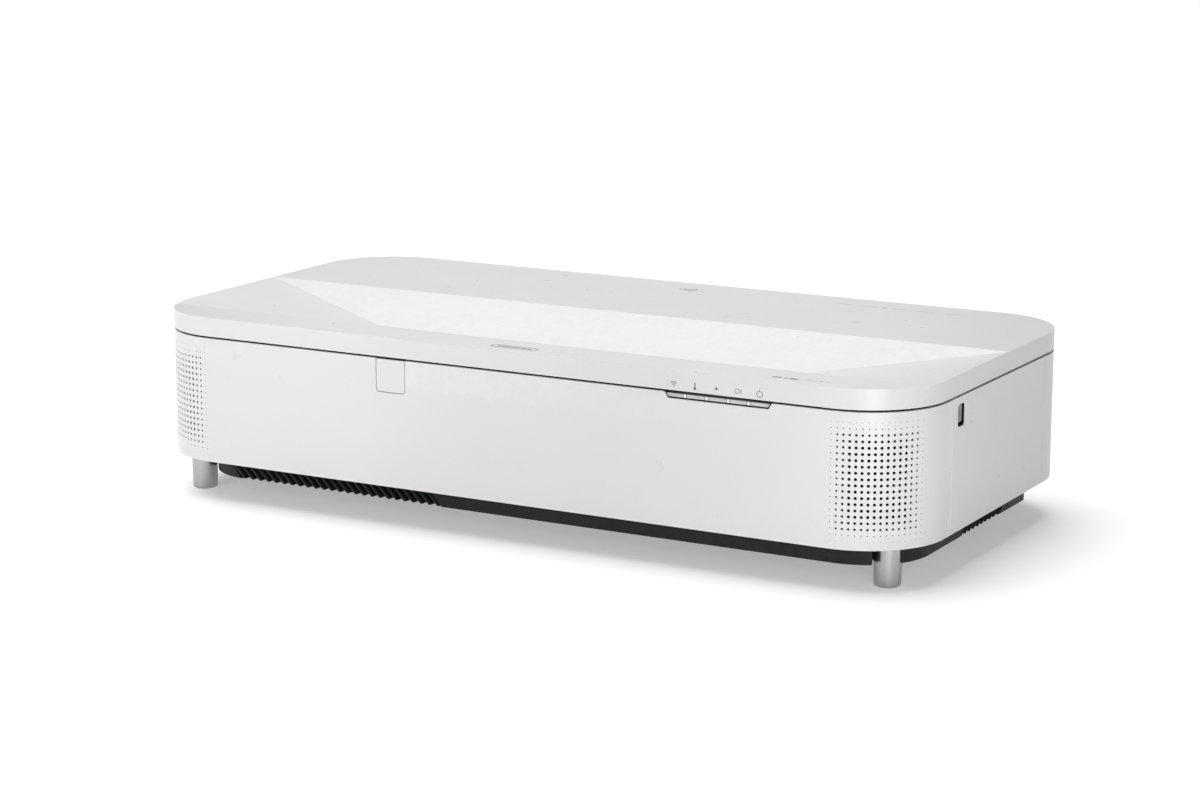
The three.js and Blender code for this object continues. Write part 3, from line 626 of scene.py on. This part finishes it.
def front_panel():
    """The wall as a grid of cells along s and z, with real holes in the corner cells."""
    rest = FLAT + ARC - GRID_S[-1]
    steps = 6
    tail = [GRID_S[-1] + rest * k / steps for k in range(1, steps + 1)]
    end = FLAT + ARC + (SEAM_FRONT + HALF_D - CORNER_R)
    right = [GRID_S[0] - 3, *GRID_S, *tail, end]
    s_lines = [-s for s in reversed(right)] + right
    z_lines = [WALL_Z0, *GRID_Z, WALL_Z1]
    columns = len(s_lines)
    vertices = [wall_point(s, 0, z) for z in z_lines for s in s_lines]
    vertices += [wall_point(s, SKIN if in_hole_field(s, z) else WALL, z) for z in z_lines for s in s_lines]
    layer = columns * len(z_lines)
    faces = []

    def square(i, j, inner):
        first = inner * layer + j * columns + i
        return [first, first + 1, first + columns + 1, first + columns]

    def hole(i, j, s, z, r):
        """Faces of one holed cell; the ring starts at the cell's first corner."""
        turn = [math.radians(225 + 360 * k / HOLE_SIDES) for k in range(HOLE_SIDES)]
        quarter = HOLE_SIDES // 4
        rings = []
        for inner, depth in enumerate((0, SKIN)):
            ring = [len(vertices) + k for k in range(HOLE_SIDES)]
            vertices.extend(wall_point(s + r * math.cos(a), depth, z + r * math.sin(a)) for a in turn)
            corners = square(i, j, inner)
            for side in range(4):
                arc = [ring[(side * quarter + k) % HOLE_SIDES] for k in range(quarter + 1)]
                faces.append([corners[side], corners[(side + 1) % 4]] + arc[::-1])
            rings.append(ring)
        for k in range(HOLE_SIDES):
            m = (k + 1) % HOLE_SIDES
            faces.append([rings[0][k], rings[0][m], rings[1][m], rings[1][k]])

    for i in range(columns - 1):
        s = (s_lines[i] + s_lines[i + 1]) / 2
        for j in range(len(z_lines) - 1):
            z = (z_lines[j] + z_lines[j + 1]) / 2
            if in_hole_field(s, z):
                column = round((abs(s) - HOLE_FIRST_S) / HOLE_STEP_S)
                hole(i, j, s, z, hole_radius(column, HOLE_ROWS - j))
            else:
                faces += [square(i, j, 0), square(i, j, 1)]
    last = len(z_lines) - 2
    for i in range(columns - 1):
        for j, a, b in ((0, 0, 1), (last, 3, 2)):
            out, back = square(i, j, 0), square(i, j, 1)
            faces.append([out[a], out[b], back[b], back[a]])
    for j in range(last + 1):
        for i, a, b in ((0, 0, 3), (columns - 2, 1, 2)):
            out, back = square(i, j, 0), square(i, j, 1)
            faces.append([out[a], out[b], back[b], back[a]])
    panel = mesh_object("front_shell", vertices, faces)

    receiver = rounded_rectangle(*RECEIVER, WALL_Z1 + CLEAR, [3, 3, 0, 0])
    combine(panel, [prism("notch", outline, facing_front, -HALF_D - CLEAR, -HALF_D + 6)
                    for outline in (receiver, bar_outline(0, 3))])

    def border(x, y, z):
        """True away from the grille, whose holes keep sharp edges."""
        return not (GRID_Z[0] - 0.1 < z < GRID_Z[-1] + 0.1 and FLAT < abs(x) and y < SEAM_FRONT - 0.1)

    round_edges(panel, 0.6, border)
    return place_piece(panel, WHITE, nodes=["front_panel"], angle=30)


def hole_shade_sheets():
    """Painted shade: a near-black sheet close behind each field of holes, so that the holes read dark."""
    near, far = SKIN + 0.25, SKIN + 0.75
    low, high = GRID_Z[0] - 1, GRID_Z[-1] + 1
    section = [(near, low), (near, high), (far, high), (far, low)]
    steps = 32
    for word, side in (("left", -1), ("right", 1)):
        s_values = [side * (GRID_S[0] - 1 + (GRID_S[-1] - GRID_S[0] + 2) * k / steps)
                    for k in range(steps + 1)]
        shade_sheet = swept("hole_shade_sheet_" + word, section, s_values, -1)
        place_piece(shade_sheet, HOLE_SHADE)


def swept(name, section, s_values, face):
    """A section of (depth, z) points carried along a wall."""
    n = len(section)
    vertices = [wall_point(s, d, z, face) for s in s_values for d, z in section]
    faces = []
    for i in range(len(s_values) - 1):
        for k in range(n):
            m = (k + 1) % n
            faces.append([n * i + k, n * i + m, n * i + n + m, n * i + n + k])
    faces += [list(range(n)), [len(vertices) - n + k for k in range(n)]]
    return mesh_object(name, vertices, faces)


RECEIVER = (-115.0, -87.6, 110.4)  # left, right and lower edge of the receiver window
BAR_Z0 = 133.0  # lower edge of the indicator bar
BAR_X = (145.5, 235.5)  # its ends, along its upper edge
BAR_LEAN = 0.64  # how far an end of the bar leans inwards per millimetre down


def bar_outline(inset, above=0.0, start=None, stop=None):
    """The trapezoid that hangs under the groove, or a stretch of it with upright ends."""
    low, high = BAR_Z0 + inset, WALL_Z1 + above - inset
    left = [start] * 2 if start is not None else [
        BAR_X[0] + inset + BAR_LEAN * (WALL_Z1 - z) for z in (low, high)]
    right = [stop] * 2 if stop is not None else [
        BAR_X[1] - inset - BAR_LEAN * (WALL_Z1 - z) for z in (low, high)]
    return [(left[0], low), (right[0], low), (right[1], high), (left[1], high)]


def receiver_window():
    x0, x1, z0 = RECEIVER
    gap = 0.4
    outline = rounded_rectangle(x0 + gap, x1 - gap, z0 + gap, WALL_Z1 - gap, [2.6, 2.6, 0.6, 0.6])
    cap = prism("receiver_cap", outline, facing_front, -HALF_D + 0.15, -HALF_D + WALL)
    round_edges(cap, 0.5)
    return place_piece(cap, WHITE, nodes=["receiver_window"])


LAMPS = (162.6, 181.1, 199.2, 216.1)  # lit dividers between the segments of the bar
LAMP_HALF = 0.95
SURROUND_HALF = 1.4
SEGMENT_CLEAR = 1.45  # from the middle of a lamp to the segments beside it
FACE_Y = -HALF_D + 0.4  # front face of the bar
BAR_GAP = 1.25  # between the notch's edge and the bar


def bar_piece(name, start, stop, sink=0.0, rounding=0.3):
    """A stretch of the bar from x start to x stop; None stands for the bar's leaning end."""
    outline = bar_outline(BAR_GAP, BAR_GAP - 0.7, start, stop)
    return round_edges(prism(name, outline, facing_front, FACE_Y + sink, FACE_Y + 8), rounding)


def indicator_bar():
    """Four glossy segments with a small lamp after each, and the power button at the end."""
    starts = [None] + [x + SEGMENT_CLEAR for x in LAMPS[:-1]]
    segments = [bar_piece("segment", start, x - SEGMENT_CLEAR) for start, x in zip(starts, LAMPS)]
    place_piece(join("light_segments", segments), GREY_GLOSS, nodes=["indicator_bar"])
    lamps = [bar_piece("lamp", x - LAMP_HALF, x + LAMP_HALF) for x in LAMPS]
    place_piece(join("divider_lamps", lamps), LENS_WHITE)
    # Black plates sunk in the gaps beside each lamp: painted shade for the dark strokes in those gaps.
    gap_shades = [bar_piece("surround", x - SURROUND_HALF, x + SURROUND_HALF, 0.12, 0.1) for x in LAMPS]
    place_piece(join("lamp_gap_shades", gap_shades), BLACK)
    button = bar_piece("power_key", LAMPS[-1] + SEGMENT_CLEAR, None)
    place_piece(button, GREY_GLOSS, "power_button", ["power_button"])
    # A black plate behind the bar, seen through the gaps round it: painted shade for those deep gaps.
    tray = prism("bar_shade_backing", bar_outline(-0.3, 1.0), facing_front, -HALF_D + 1.2, -HALF_D + 2.3)
    hole = prism("hole", bar_outline(BAR_GAP - 0.25, 4), facing_front, -HALF_D - 1, -HALF_D + CLEAR)
    combine(tray, [hole])
    place_piece(tray, BLACK)


def groove_strip():
    """The dark strip seen in the groove between the cover and the walls."""
    low, high = node_box("parting_gasket")
    strip = prism("groove_strip", housing_outline(WALL + 0.3), upright, low[2], high[2])
    inside = prism("inside", housing_outline(2 * WALL + 0.3), upright, low[2] - 1, high[2] + 1)
    room_for_bar = block("gap", BAR_X[0] - 3.5, BAR_X[1] + 4.5, -HALF_D, -HALF_D + 12, 130, 145)
    combine(strip, [inside, room_for_bar])
    return place_piece(strip, BLACK, nodes=["parting_gasket"])


# ---------------------------------------------------------------- side and rear panels

SIDE_PLATE = (SEAM_FRONT + 0.35, SEAM_REAR - 0.35, WALL_Z0, WALL_Z1)  # leaves a seam at each end
POCKET = (-82.0, -68.5, 114.5, 131.5)  # the latch's pocket in the side cover
POCKET_DEPTH = 6.0
POCKET_R = 2.4


def pocket_block(name, grow, r, low, high):
    """The latch pocket's outline, grown by some millimetres, from x low to x high."""
    y0, y1, z0, z1 = POCKET
    return tablet(name, y0 - grow, y1 + grow, z0 - grow, z1 + grow, r, facing_side, low, high)


def side_cover():
    plate = tablet("side_door", *SIDE_PLATE, 0, facing_side, HALF_W - WALL, HALF_W)
    back = HALF_W - WALL - POCKET_DEPTH
    combine(plate, [pocket_block("tray", 1.5, 3, back, HALF_W - 1)], "UNION")
    combine(plate, [pocket_block("pocket", 0, POCKET_R, back + 1.5, HALF_W + 1)])
    round_edges(plate, 0.6, lambda x, y, z: x > HALF_W - 0.1)
    place_piece(plate, WHITE, "side_cover", ["side_cover"])
    # A black lining on the pocket's inner walls: painted shade for the walls that the pocket keeps in
    # shadow.
    pocket_shade_lining = pocket_block("latch_pocket_shade", -0.05, POCKET_R - 0.05, back + 1.55, HALF_W - 0.9)
    combine(pocket_shade_lining, [pocket_block("hollow", -0.55, 1.9, back + 2, HALF_W + 1)])
    place_piece(pocket_shade_lining, BLACK, "side_cover")


def side_latch():
    """The latch with three finger ridges across it."""
    low, high = node_box("side_latch")
    latch = tablet("latch_slide", low[1] + 0.2, high[1], low[2], high[2] - 0.1, 2,
                   facing_side, low[0], high[0])
    round_edges(latch, 0.8)
    ridges = []
    middle = (low[1] + high[1]) / 2
    for k in (-1, 0, 1):
        z = (low[2] + high[2]) / 2 + k * 2.2
        ridge = tablet("ridge", middle - 2.6, middle + 2.6, z - 0.45, z + 0.45, 0.4,
                       facing_side, high[0] - 0.5, high[0] + 0.45)
        ridges.append(round_edges(ridge, 0.2))
    body = join("latch_body", [latch, *ridges])
    place_piece(body, LATCH_GREY, "side_latch", ["side_latch"])


SIDE_SLOTS, SIDE_SLOT_STEP = 14, 8


def left_panel():
    plate = tablet("left_wall", *SIDE_PLATE, 0, facing_side, -HALF_W, -HALF_W + WALL)
    slots = []
    for k in range(SIDE_SLOTS):
        y = 40 + SIDE_SLOT_STEP * (k - (SIDE_SLOTS - 1) / 2)
        slots.append(tablet("slot", y - 2.5, y + 2.5, 46, 122, 2.4,
                            facing_side, -HALF_W - CLEAR, -HALF_W + 8))
    combine(plate, [join("slots", slots)])
    round_edges(plate, 0.6, lambda x, y, z: x < -HALF_W + 0.1)
    return place_piece(plate, WHITE, nodes=["left_side_panel"])


BAY_HALF_X, BAY_TOP = 160.0, 100.0  # the cable bay's mouth
REAR_CUT = (150, 180)  # from in front of the rear wall to behind it
VENT_X, VENT_Z = 225, 82  # middle of a bank of vents
VENT_ROWS, VENT_STEP = 7, 9


def rear_panel():
    """The wrap-round rear wall with its cable bay and two banks of vents."""
    end = FLAT + ARC + (HALF_D - CORNER_R - SEAM_REAR)
    half = [FLAT + ARC * k / ARC_STEPS for k in range(ARC_STEPS + 1)] + [end]
    s_lines = [-s for s in reversed(half)] + half
    section = [(0, WALL_Z0), (0, WALL_Z1), (WALL, WALL_Z1), (WALL, WALL_Z0)]
    wall = swept("rear_shell", section, s_lines, 1)
    mouth = rounded_rectangle(-BAY_HALF_X, BAY_HALF_X, 0, BAY_TOP, [0, 0, 4, 4])
    tools = [prism("mouth", mouth, facing_front, *REAR_CUT)]
    for x in (-VENT_X, VENT_X):
        for k in range(VENT_ROWS):
            z = VENT_Z + VENT_STEP * (k - VENT_ROWS // 2)
            tools.append(tablet("slot", x - 38, x + 38, z - 2, z + 2, 1.9, facing_front, *REAR_CUT))
    combine(wall, [join("tools", tools)])
    round_edges(wall, 0.6, lambda x, y, z: outside(x, y))
    return place_piece(wall, WHITE, nodes=["rear_panel"], angle=30)


# ---------------------------------------------------------------- base, ribs and feet

BASE_RADII = [54, 54, 8, 8]
HOLLOW_RADII = [42, 38, 5, 5]
CUT_TOP = 60  # a height well over the base
FRONT_RIBS, FRONT_PITCH, FRONT_RIB_X = 25, 7.9, -167  # the middle rib stands at FRONT_RIB_X
SIDE_RIBS, SIDE_PITCH, SIDE_RIB_Y = 10, 8.4, 5
RIB_DEEP = 9.0  # from the floor of the pocket to the rib's nose
RIB_HALF = 2.9  # half of a rib's width
RIB_LEAN = 0.95  # sideways shift per millimetre down
NOTCH_STEP = 6  # degrees


def base_tray():
    """The black base with a notch for the right front foot, two rows of ribs and vents below."""
    (x0, y0, z0), (x1, y1, z1) = node_box("base_tray")
    tray = prism("base", rounded_rectangle(x0, x1, y0, y1, BASE_RADII), upright, z0, z1)
    foot_low, foot_high = node_box("front_foot_right")
    foot = [(a + b) / 2 for a, b in zip(foot_low, foot_high)]
    reach = foot_high[0] - foot[0] + 0.5
    circle = [(foot[0] + reach * math.cos(math.radians(a)), foot[1] + reach * math.sin(math.radians(a)))
              for a in range(0, 360, NOTCH_STEP)]
    opening = [(foot[0] + reach, foot[1]), (foot[0] - 0.92 * reach, foot[1] - 0.39 * reach),
               (foot[0] + 0.3, y0 - CLEAR), (foot[0] + reach, y0 - CLEAR)]
    tools = [prism("notch", outline, upright, 0, CUT_TOP) for outline in (circle, opening)]
    hollow = rounded_rectangle(x0 + 6, x1 - 16, y0 + 12, y1 - 3, HOLLOW_RADII)
    tools.append(prism("hollow", hollow, upright, z0 + WALL, z1 + CLEAR))
    front_first = FRONT_RIB_X - (FRONT_RIBS - 1) / 2 * FRONT_PITCH
    side_first = SIDE_RIB_Y - (SIDE_RIBS - 1) / 2 * SIDE_PITCH
    front_pocket = leaning_pocket(front_first, front_first + (FRONT_RIBS - 1) * FRONT_PITCH, 1, z0, z1)
    side_pocket = leaning_pocket(side_first, side_first + (SIDE_RIBS - 1) * SIDE_PITCH, -1, z0, z1)
    tools.append(prism("pocket", front_pocket, facing_front, y0 - CLEAR, y0 + RIB_DEEP))
    tools.append(prism("pocket", side_pocket, facing_side, x1 - RIB_DEEP, x1 + CLEAR))
    for k in range(-4, 5):
        x = 210 + 18 * k
        tools.append(tablet("slot", x - 5, x + 5, -60, 50, 4.5, upright, 0, CUT_TOP))
    for tool in tools:
        combine(tray, [tool])
    round_edges(tray, 0.8, lambda x, y, z: z < z0 + 0.1)
    place_piece(tray, BLACK, nodes=["base_tray"])

    def front_rib(middle):
        return leaning_rib(lambda u, v, w: (middle + u, y0 + RIB_DEEP - w, v), z0, z1)

    def side_rib(middle):
        return leaning_rib(lambda u, v, w: (x1 - RIB_DEEP + w, middle - u, v), z0, z1)

    ribs = join("front_ribs", [front_rib(front_first + FRONT_PITCH * k) for k in range(FRONT_RIBS)])
    place_piece(ribs, BLACK)
    ribs = join("side_ribs", [side_rib(side_first + SIDE_PITCH * k) for k in range(SIDE_RIBS)])
    place_piece(ribs, BLACK)
    return z0


def leaning_pocket(first, last, way, z0, z1):
    """Outline of the hollow that a row of leaning ribs stands in; way is 1 or -1, the side it leans to."""
    middle, side = (z0 + z1) / 2, RIB_HALF + 0.5
    low, high = z0 - CLEAR, z1 - 1.6
    shifts = [way * RIB_LEAN * (middle - z) for z in (low, high)]
    return [(first - side + shifts[0], low), (last + side + shifts[0], low),
            (last + side + shifts[1], high), (first - side + shifts[1], high)]


def leaning_rib(place, z0, z1):
    """An upright rib with a round nose and a round lower end; it leans sideways as it goes down."""
    middle = (z0 + z1) / 2
    foot_z = z0 + 0.05
    levels = [foot_z + RIB_HALF * (1 - math.cos(math.radians(15 * k))) for k in range(1, 7)]
    levels += [levels[-1] + (z1 - 1.9 - levels[-1]) * k / 6 for k in range(1, 7)]
    vertices, faces = [], []
    for z in levels:
        short = max(0, foot_z + RIB_HALF - z) / RIB_HALF
        r = RIB_HALF * math.sqrt(1 - short * short)
        shift = RIB_LEAN * (middle - z)
        section = [(-r, 0.1)] + [(-r * math.cos(a), RIB_DEEP - RIB_HALF * (1 - math.sin(a)))
                                 for a in (math.pi * k / 10 for k in range(11))] + [(r, 0.1)]
        vertices += [place(shift + u, z, w) for u, w in section]
    width = len(section)
    for j in range(len(levels) - 1):
        for k in range(width):
            m = (k + 1) % width
            faces.append([j * width + k, j * width + m, (j + 1) * width + m, (j + 1) * width + k])
    faces += [list(range(width)), [len(vertices) - width + k for k in range(width)]]
    return mesh_object("rib", vertices, faces)


def cross_screw(x, y, z):
    """The head of a cross-recess screw that looks down from height z."""
    profile = [(0, 0), (2.2, 0), (3.0, 0.25), (3.5, 0.8), (3.5, 1.7), (0, 1.7)]
    head = turned("head", profile, lambda u, v, w: (x + u, y + v, z - 1.5 + w), 24)
    arms = [block("arm", x - 0.35, x + 0.35, y - 1.9, y + 1.9, z - 3, z - 0.6),
            block("arm", x - 1.9, x + 1.9, y - 0.35, y + 0.35, z - 3, z - 0.6)]
    return combine(head, arms)


def underside_screws(base_z0):
    """Ten screws in the base and five in the bottom pan around it."""
    pan_z0 = WALL_Z0 + 0.2
    spots = [(x, y, base_z0) for x in (-262, -120, 20, 160, 318) for y in (-60, 86)]
    spots += [(x, 118, pan_z0) for x in (-320, -215, 215, 320)]
    spots.append((-320, 0, pan_z0))
    screws = join("case_screws", [cross_screw(*spot) for spot in spots])
    place_piece(screws, PLATE_METAL)


LEG_SHOULDER, LEG_TOP = 44, 52  # the thick part ends at the shoulder, the thread at the top


def foot_axis(node):
    """Middle x and y of a foot, its radius and its upper end."""
    low, high = node_box(node)
    return (low[0] + high[0]) / 2, (low[1] + high[1]) / 2, (high[0] - low[0]) / 2, high[2]


def feet():
    """The round metal front feet and the short rubber rear feet."""
    for word in ("left", "right"):
        x, y, r, _ = foot_axis("front_foot_" + word)
        profile = [(0, 0), (r - 3.2, 0), (r - 2.4, 0.05)]
        profile += [(r - 2.4 + 1.9 * math.sin(a), 1.9 * (1 - math.cos(a)) + 0.05)
                    for a in (math.radians(15 * k) for k in range(1, 7))]
        profile += [(r - 0.3, 4), (r, 20), (r, LEG_SHOULDER - 0.4), (r - 0.4, LEG_SHOULDER)]
        profile += [(4, LEG_SHOULDER), (4, LEG_TOP - 0.4), (3.6, LEG_TOP), (0, LEG_TOP)]
        foot = turned("leg_" + word, profile, lambda u, v, w, x=x, y=y: (x + u, y + v, w))
        place_piece(foot, FOOT_METAL, "front_foot_" + word, ["front_foot_" + word])
        x, y, r, top = foot_axis("rear_foot_" + word)
        profile = [(0, 0), (r - 1.6, 0), (r - 0.5, 0.4), (r, 1.4), (r, 5.6), (r - 0.6, 6.6), (r - 2, 8),
                   (r - 2, top), (0, top)]
        foot = turned("stub_" + word, profile, lambda u, v, w, x=x, y=y: (x + u, y + v, w), 40)
        place_piece(foot, RUBBER, nodes=["rear_foot_" + word])


# ---------------------------------------------------------------- printed marks

PROUD = 0.03  # how far ink stands out of its surface
SUNK = -0.05  # how deep it reaches into it


def on_front(u, v, w):
    return (u, -HALF_D - w, v)


def on_top(u, v, w):
    return (u, v, TOP + w)


def band(points, width, place, closed=False):
    """A stroke of even width along points."""
    n = len(points)
    sides = []
    for i, (x, y) in enumerate(points):
        before = points[(i - 1) % n] if closed or i else (x, y)
        after = points[(i + 1) % n] if closed or i < n - 1 else (x, y)
        dx, dy = after[0] - before[0], after[1] - before[1]
        size = math.hypot(dx, dy)
        nx, ny = -dy / size * width / 2, dx / size * width / 2
        sides.append(((x + nx, y + ny), (x - nx, y - ny)))
    vertices = [place(*point, w) for w in (SUNK, PROUD) for pair in sides for point in pair]
    layer = 2 * n
    faces = []
    for i in range(n if closed else n - 1):
        m = (i + 1) % n
        a, b, c, d = 2 * i, 2 * i + 1, 2 * m + 1, 2 * m
        faces += [[a, b, c, d], [layer + a, layer + b, layer + c, layer + d],
                  [a, d, layer + d, layer + a], [b, c, layer + c, layer + b]]
    if not closed:
        for i in (0, n - 1):
            faces.append([2 * i, 2 * i + 1, layer + 2 * i + 1, layer + 2 * i])
    return mesh_object("stroke", vertices, faces)


def arc_points(x, y, r, start, stop, count=16):
    turns = [math.radians(start + (stop - start) * k / count) for k in range(count + 1)]
    return [(x + r * math.cos(a), y + r * math.sin(a)) for a in turns]


def shape(points, place):
    return prism("shape", points, place, SUNK, PROUD)


def disc(x, y, r, place):
    return shape(arc_points(x, y, r, 0, 345, 23), place)


def bar(x0, x1, y0, y1, place, r=None):
    r = min(x1 - x0, y1 - y0) * 0.49 if r is None else r
    return shape(rounded_rectangle(x0, x1, y0, y1, [r] * 4), place)


ICON_Z = 144.1
WAVES_X, THERMOMETER_X, STAR_X, PICTURE_X, POWER_X = 153.6, 171.4, 189.4, 205.0, 225.4


def cover_icons():
    """Plain symbols over the bar: waves, thermometer, star, picture and power ring."""
    x, z = WAVES_X, ICON_Z
    marks = [disc(x, z - 1.8, 0.45, on_front)]
    marks += [band(arc_points(x, z - 1.8, r, 45, 135, 10), 0.5, on_front) for r in (1.4, 2.6, 3.8)]
    x = THERMOMETER_X
    stem = [(x + 0.5, z + 2.7), (x - 0.5, z + 2.7)]
    marks.append(shape(arc_points(x, z - 1.7, 1.15, 115.8, 424.2, 20) + stem, on_front))
    star = [(STAR_X + r * math.cos(math.radians(45 * k)), z + r * math.sin(math.radians(45 * k)))
            for k, r in enumerate([1.9, 0.75] * 4)]
    marks.append(shape(star, on_front))
    x = PICTURE_X
    box = rounded_rectangle(x, x + 3.4, z - 1.5, z + 1.5, [0.8] * 4)
    marks.append(band(box, 0.45, on_front, closed=True))
    marks += [bar(x + 4.2, x + 5.7, z + dz - 0.25, z + dz + 0.25, on_front) for dz in (-1.1, 0, 1.1)]
    x = POWER_X
    marks.append(band(arc_points(x, z - 0.3, 2.35, 115, 425, 28), 0.55, on_front))
    marks.append(bar(x - 0.3, x + 0.3, z + 0.9, z + 3.2, on_front))
    place_piece(join("cover_icons", marks), INK)


def strip_marks():
    """A plain bar in the middle of the front strip and short dashes near its right end."""
    marks = [band(rounded_rectangle(-15.5, 25.5, -159, -151.5, [3.7] * 4), 1.1, on_top, closed=True),
             bar(-10.5, 20.5, -156.3, -154.2, on_top)]
    place_piece(join("centre_mark", marks), INK)
    marks = [bar(x, x + w, -158.6, -155.4, on_top) for x, w in ((229, 8), (238.5, 3.2), (243, 7.5))]
    place_piece(join("strip_dashes", marks), INK)
    marks = [bar(x, x + w, -156.4, -154.6, on_top) for x, w in ((257, 8), (266.5, 4), (272, 4))]
    place_piece(join("strip_fine_dashes", marks), FAINT_INK)


def rear_marks():
    """A fan of rays behind the recess and a row of faint dashes near the rear edge."""
    marks = [disc(-3.5, 139, 1.2, on_top)]
    marks += [band([(-1.5, 139), (9.5, 139 + rise)], 0.9, on_top) for rise in (-5.5, 0, 5.5)]
    marks.append(band(arc_points(-3.5, 139, 14, -32, 32, 14), 0.9, on_top))
    place_piece(join("beam_mark", marks), INK)
    marks = [bar(x, x + w, 141.5, 142.6, on_top)
             for x, w in ((141, 17), (166, 15), (192, 14), (216, 19), (243, 19))]
    marks.append(bar(186, 190, 140.2, 143.8, on_top, 0.6))
    place_piece(join("rear_dashes", marks), FAINT_INK)


# ---------------------------------------------------------------- studio


CAMERA_PLACE = (1.1665, -2.0897, 0.6020)
CAMERA_DOWN, CAMERA_ROUND = 12.24, 29.29  # degrees below level, and round from straight ahead
LENS, SENSOR = 88.43, 36  # millimetres


def make_camera():
    data = bpy.data.cameras.new("camera")
    data.sensor_width = SENSOR
    data.lens = LENS
    camera = bpy.data.objects.new("camera", data)
    camera.location = CAMERA_PLACE
    camera.rotation_euler = (math.radians(90 - CAMERA_DOWN), 0, math.radians(CAMERA_ROUND))
    bpy.context.scene.collection.objects.link(camera)
    bpy.context.scene.camera = camera


def aim(light, location, target):
    """Places a light, turns it towards target and hides it from the camera."""
    light.location = location
    direction = Vector(target) - Vector(location)
    light.rotation_euler = direction.to_track_quat("-Z", "Y").to_euler()
    light.visible_camera = False
    bpy.context.scene.collection.objects.link(light)


def area_light(name, location, target, size, power):
    data = bpy.data.lights.new(name, "AREA")
    data.shape = "RECTANGLE"
    data.size, data.size_y = size
    data.energy = power
    aim(bpy.data.objects.new(name, data), location, target)


FLOOR_HALF = 30  # metres, so that no edge of the floor is in view
FLOOR_GLOW = 0.38
WORLD_STRENGTH = 0.05


def make_floor():
    half = FLOOR_HALF / MM
    floor = mesh_object("floor", [(-half, -half, 0), (half, -half, 0), (half, half, 0), (-half, half, 0)],
                        [[0, 1, 2, 3]])
    n = Nodes("floor_paint")
    place = n.coordinates()
    color = n.tint(n.noise(place, 0.8, 3), (0.67, 0.67, 0.67), (0.70, 0.70, 0.70))
    gloss = n.spread(n.noise(place, 3, 3), 0.85, 1.0)
    paint = n.output(color, gloss, Emission_Color=(1, 1, 1, 1), Emission_Strength=FLOOR_GLOW)
    floor.data.materials.append(paint)


def make_studio():
    """A broad soft sun for the whole object, and boxes that lift its faces one by one."""
    make_floor()
    world = bpy.data.worlds.new("studio")
    world.use_nodes = True
    world.node_tree.nodes["Background"].inputs["Color"].default_value = (1, 1, 1, 1)
    world.node_tree.nodes["Background"].inputs["Strength"].default_value = WORLD_STRENGTH
    bpy.context.scene.world = world
    bpy.context.scene.view_settings.view_transform = "Standard"
    sky = bpy.data.lights.new("sky_panel", "SUN")
    sky.energy = 3.05
    sky.angle = math.radians(60)
    aim(bpy.data.objects.new("sky_panel", sky), (-1.0, 0.3, 3), (0, 0, 0))
    middle = (0, 0, 0.08)
    area_light("front_box", (-0.836, -1.447, 2.07), middle, (1.2, 1.2), 4.0)
    area_light("left_rear_box", (-1.039, 1.80, 1.28), middle, (1.2, 1.2), 4.0)
    area_light("rear_strip", (-1.066, 2.287, 0.709), middle, (2.0, 0.8), 1.8)
    area_light("left_end_box", (-0.32, -0.62, 0.20), (-0.27, -0.17, 0.09), (0.3, 0.25), 0.9)
    area_light("right_corner_box", (0.58, -0.52, 0.14), (0.33, -0.15, 0.09), (0.25, 0.25), 1.0)


make_camera()
make_studio()
dress_frame()
top_cover()
front_panel()
hole_shade_sheets()
receiver_window()
indicator_bar()
groove_strip()
side_cover()
side_latch()
left_panel()
rear_panel()
underside_screws(base_tray())
feet()
cover_icons()
strip_marks()
rear_marks()
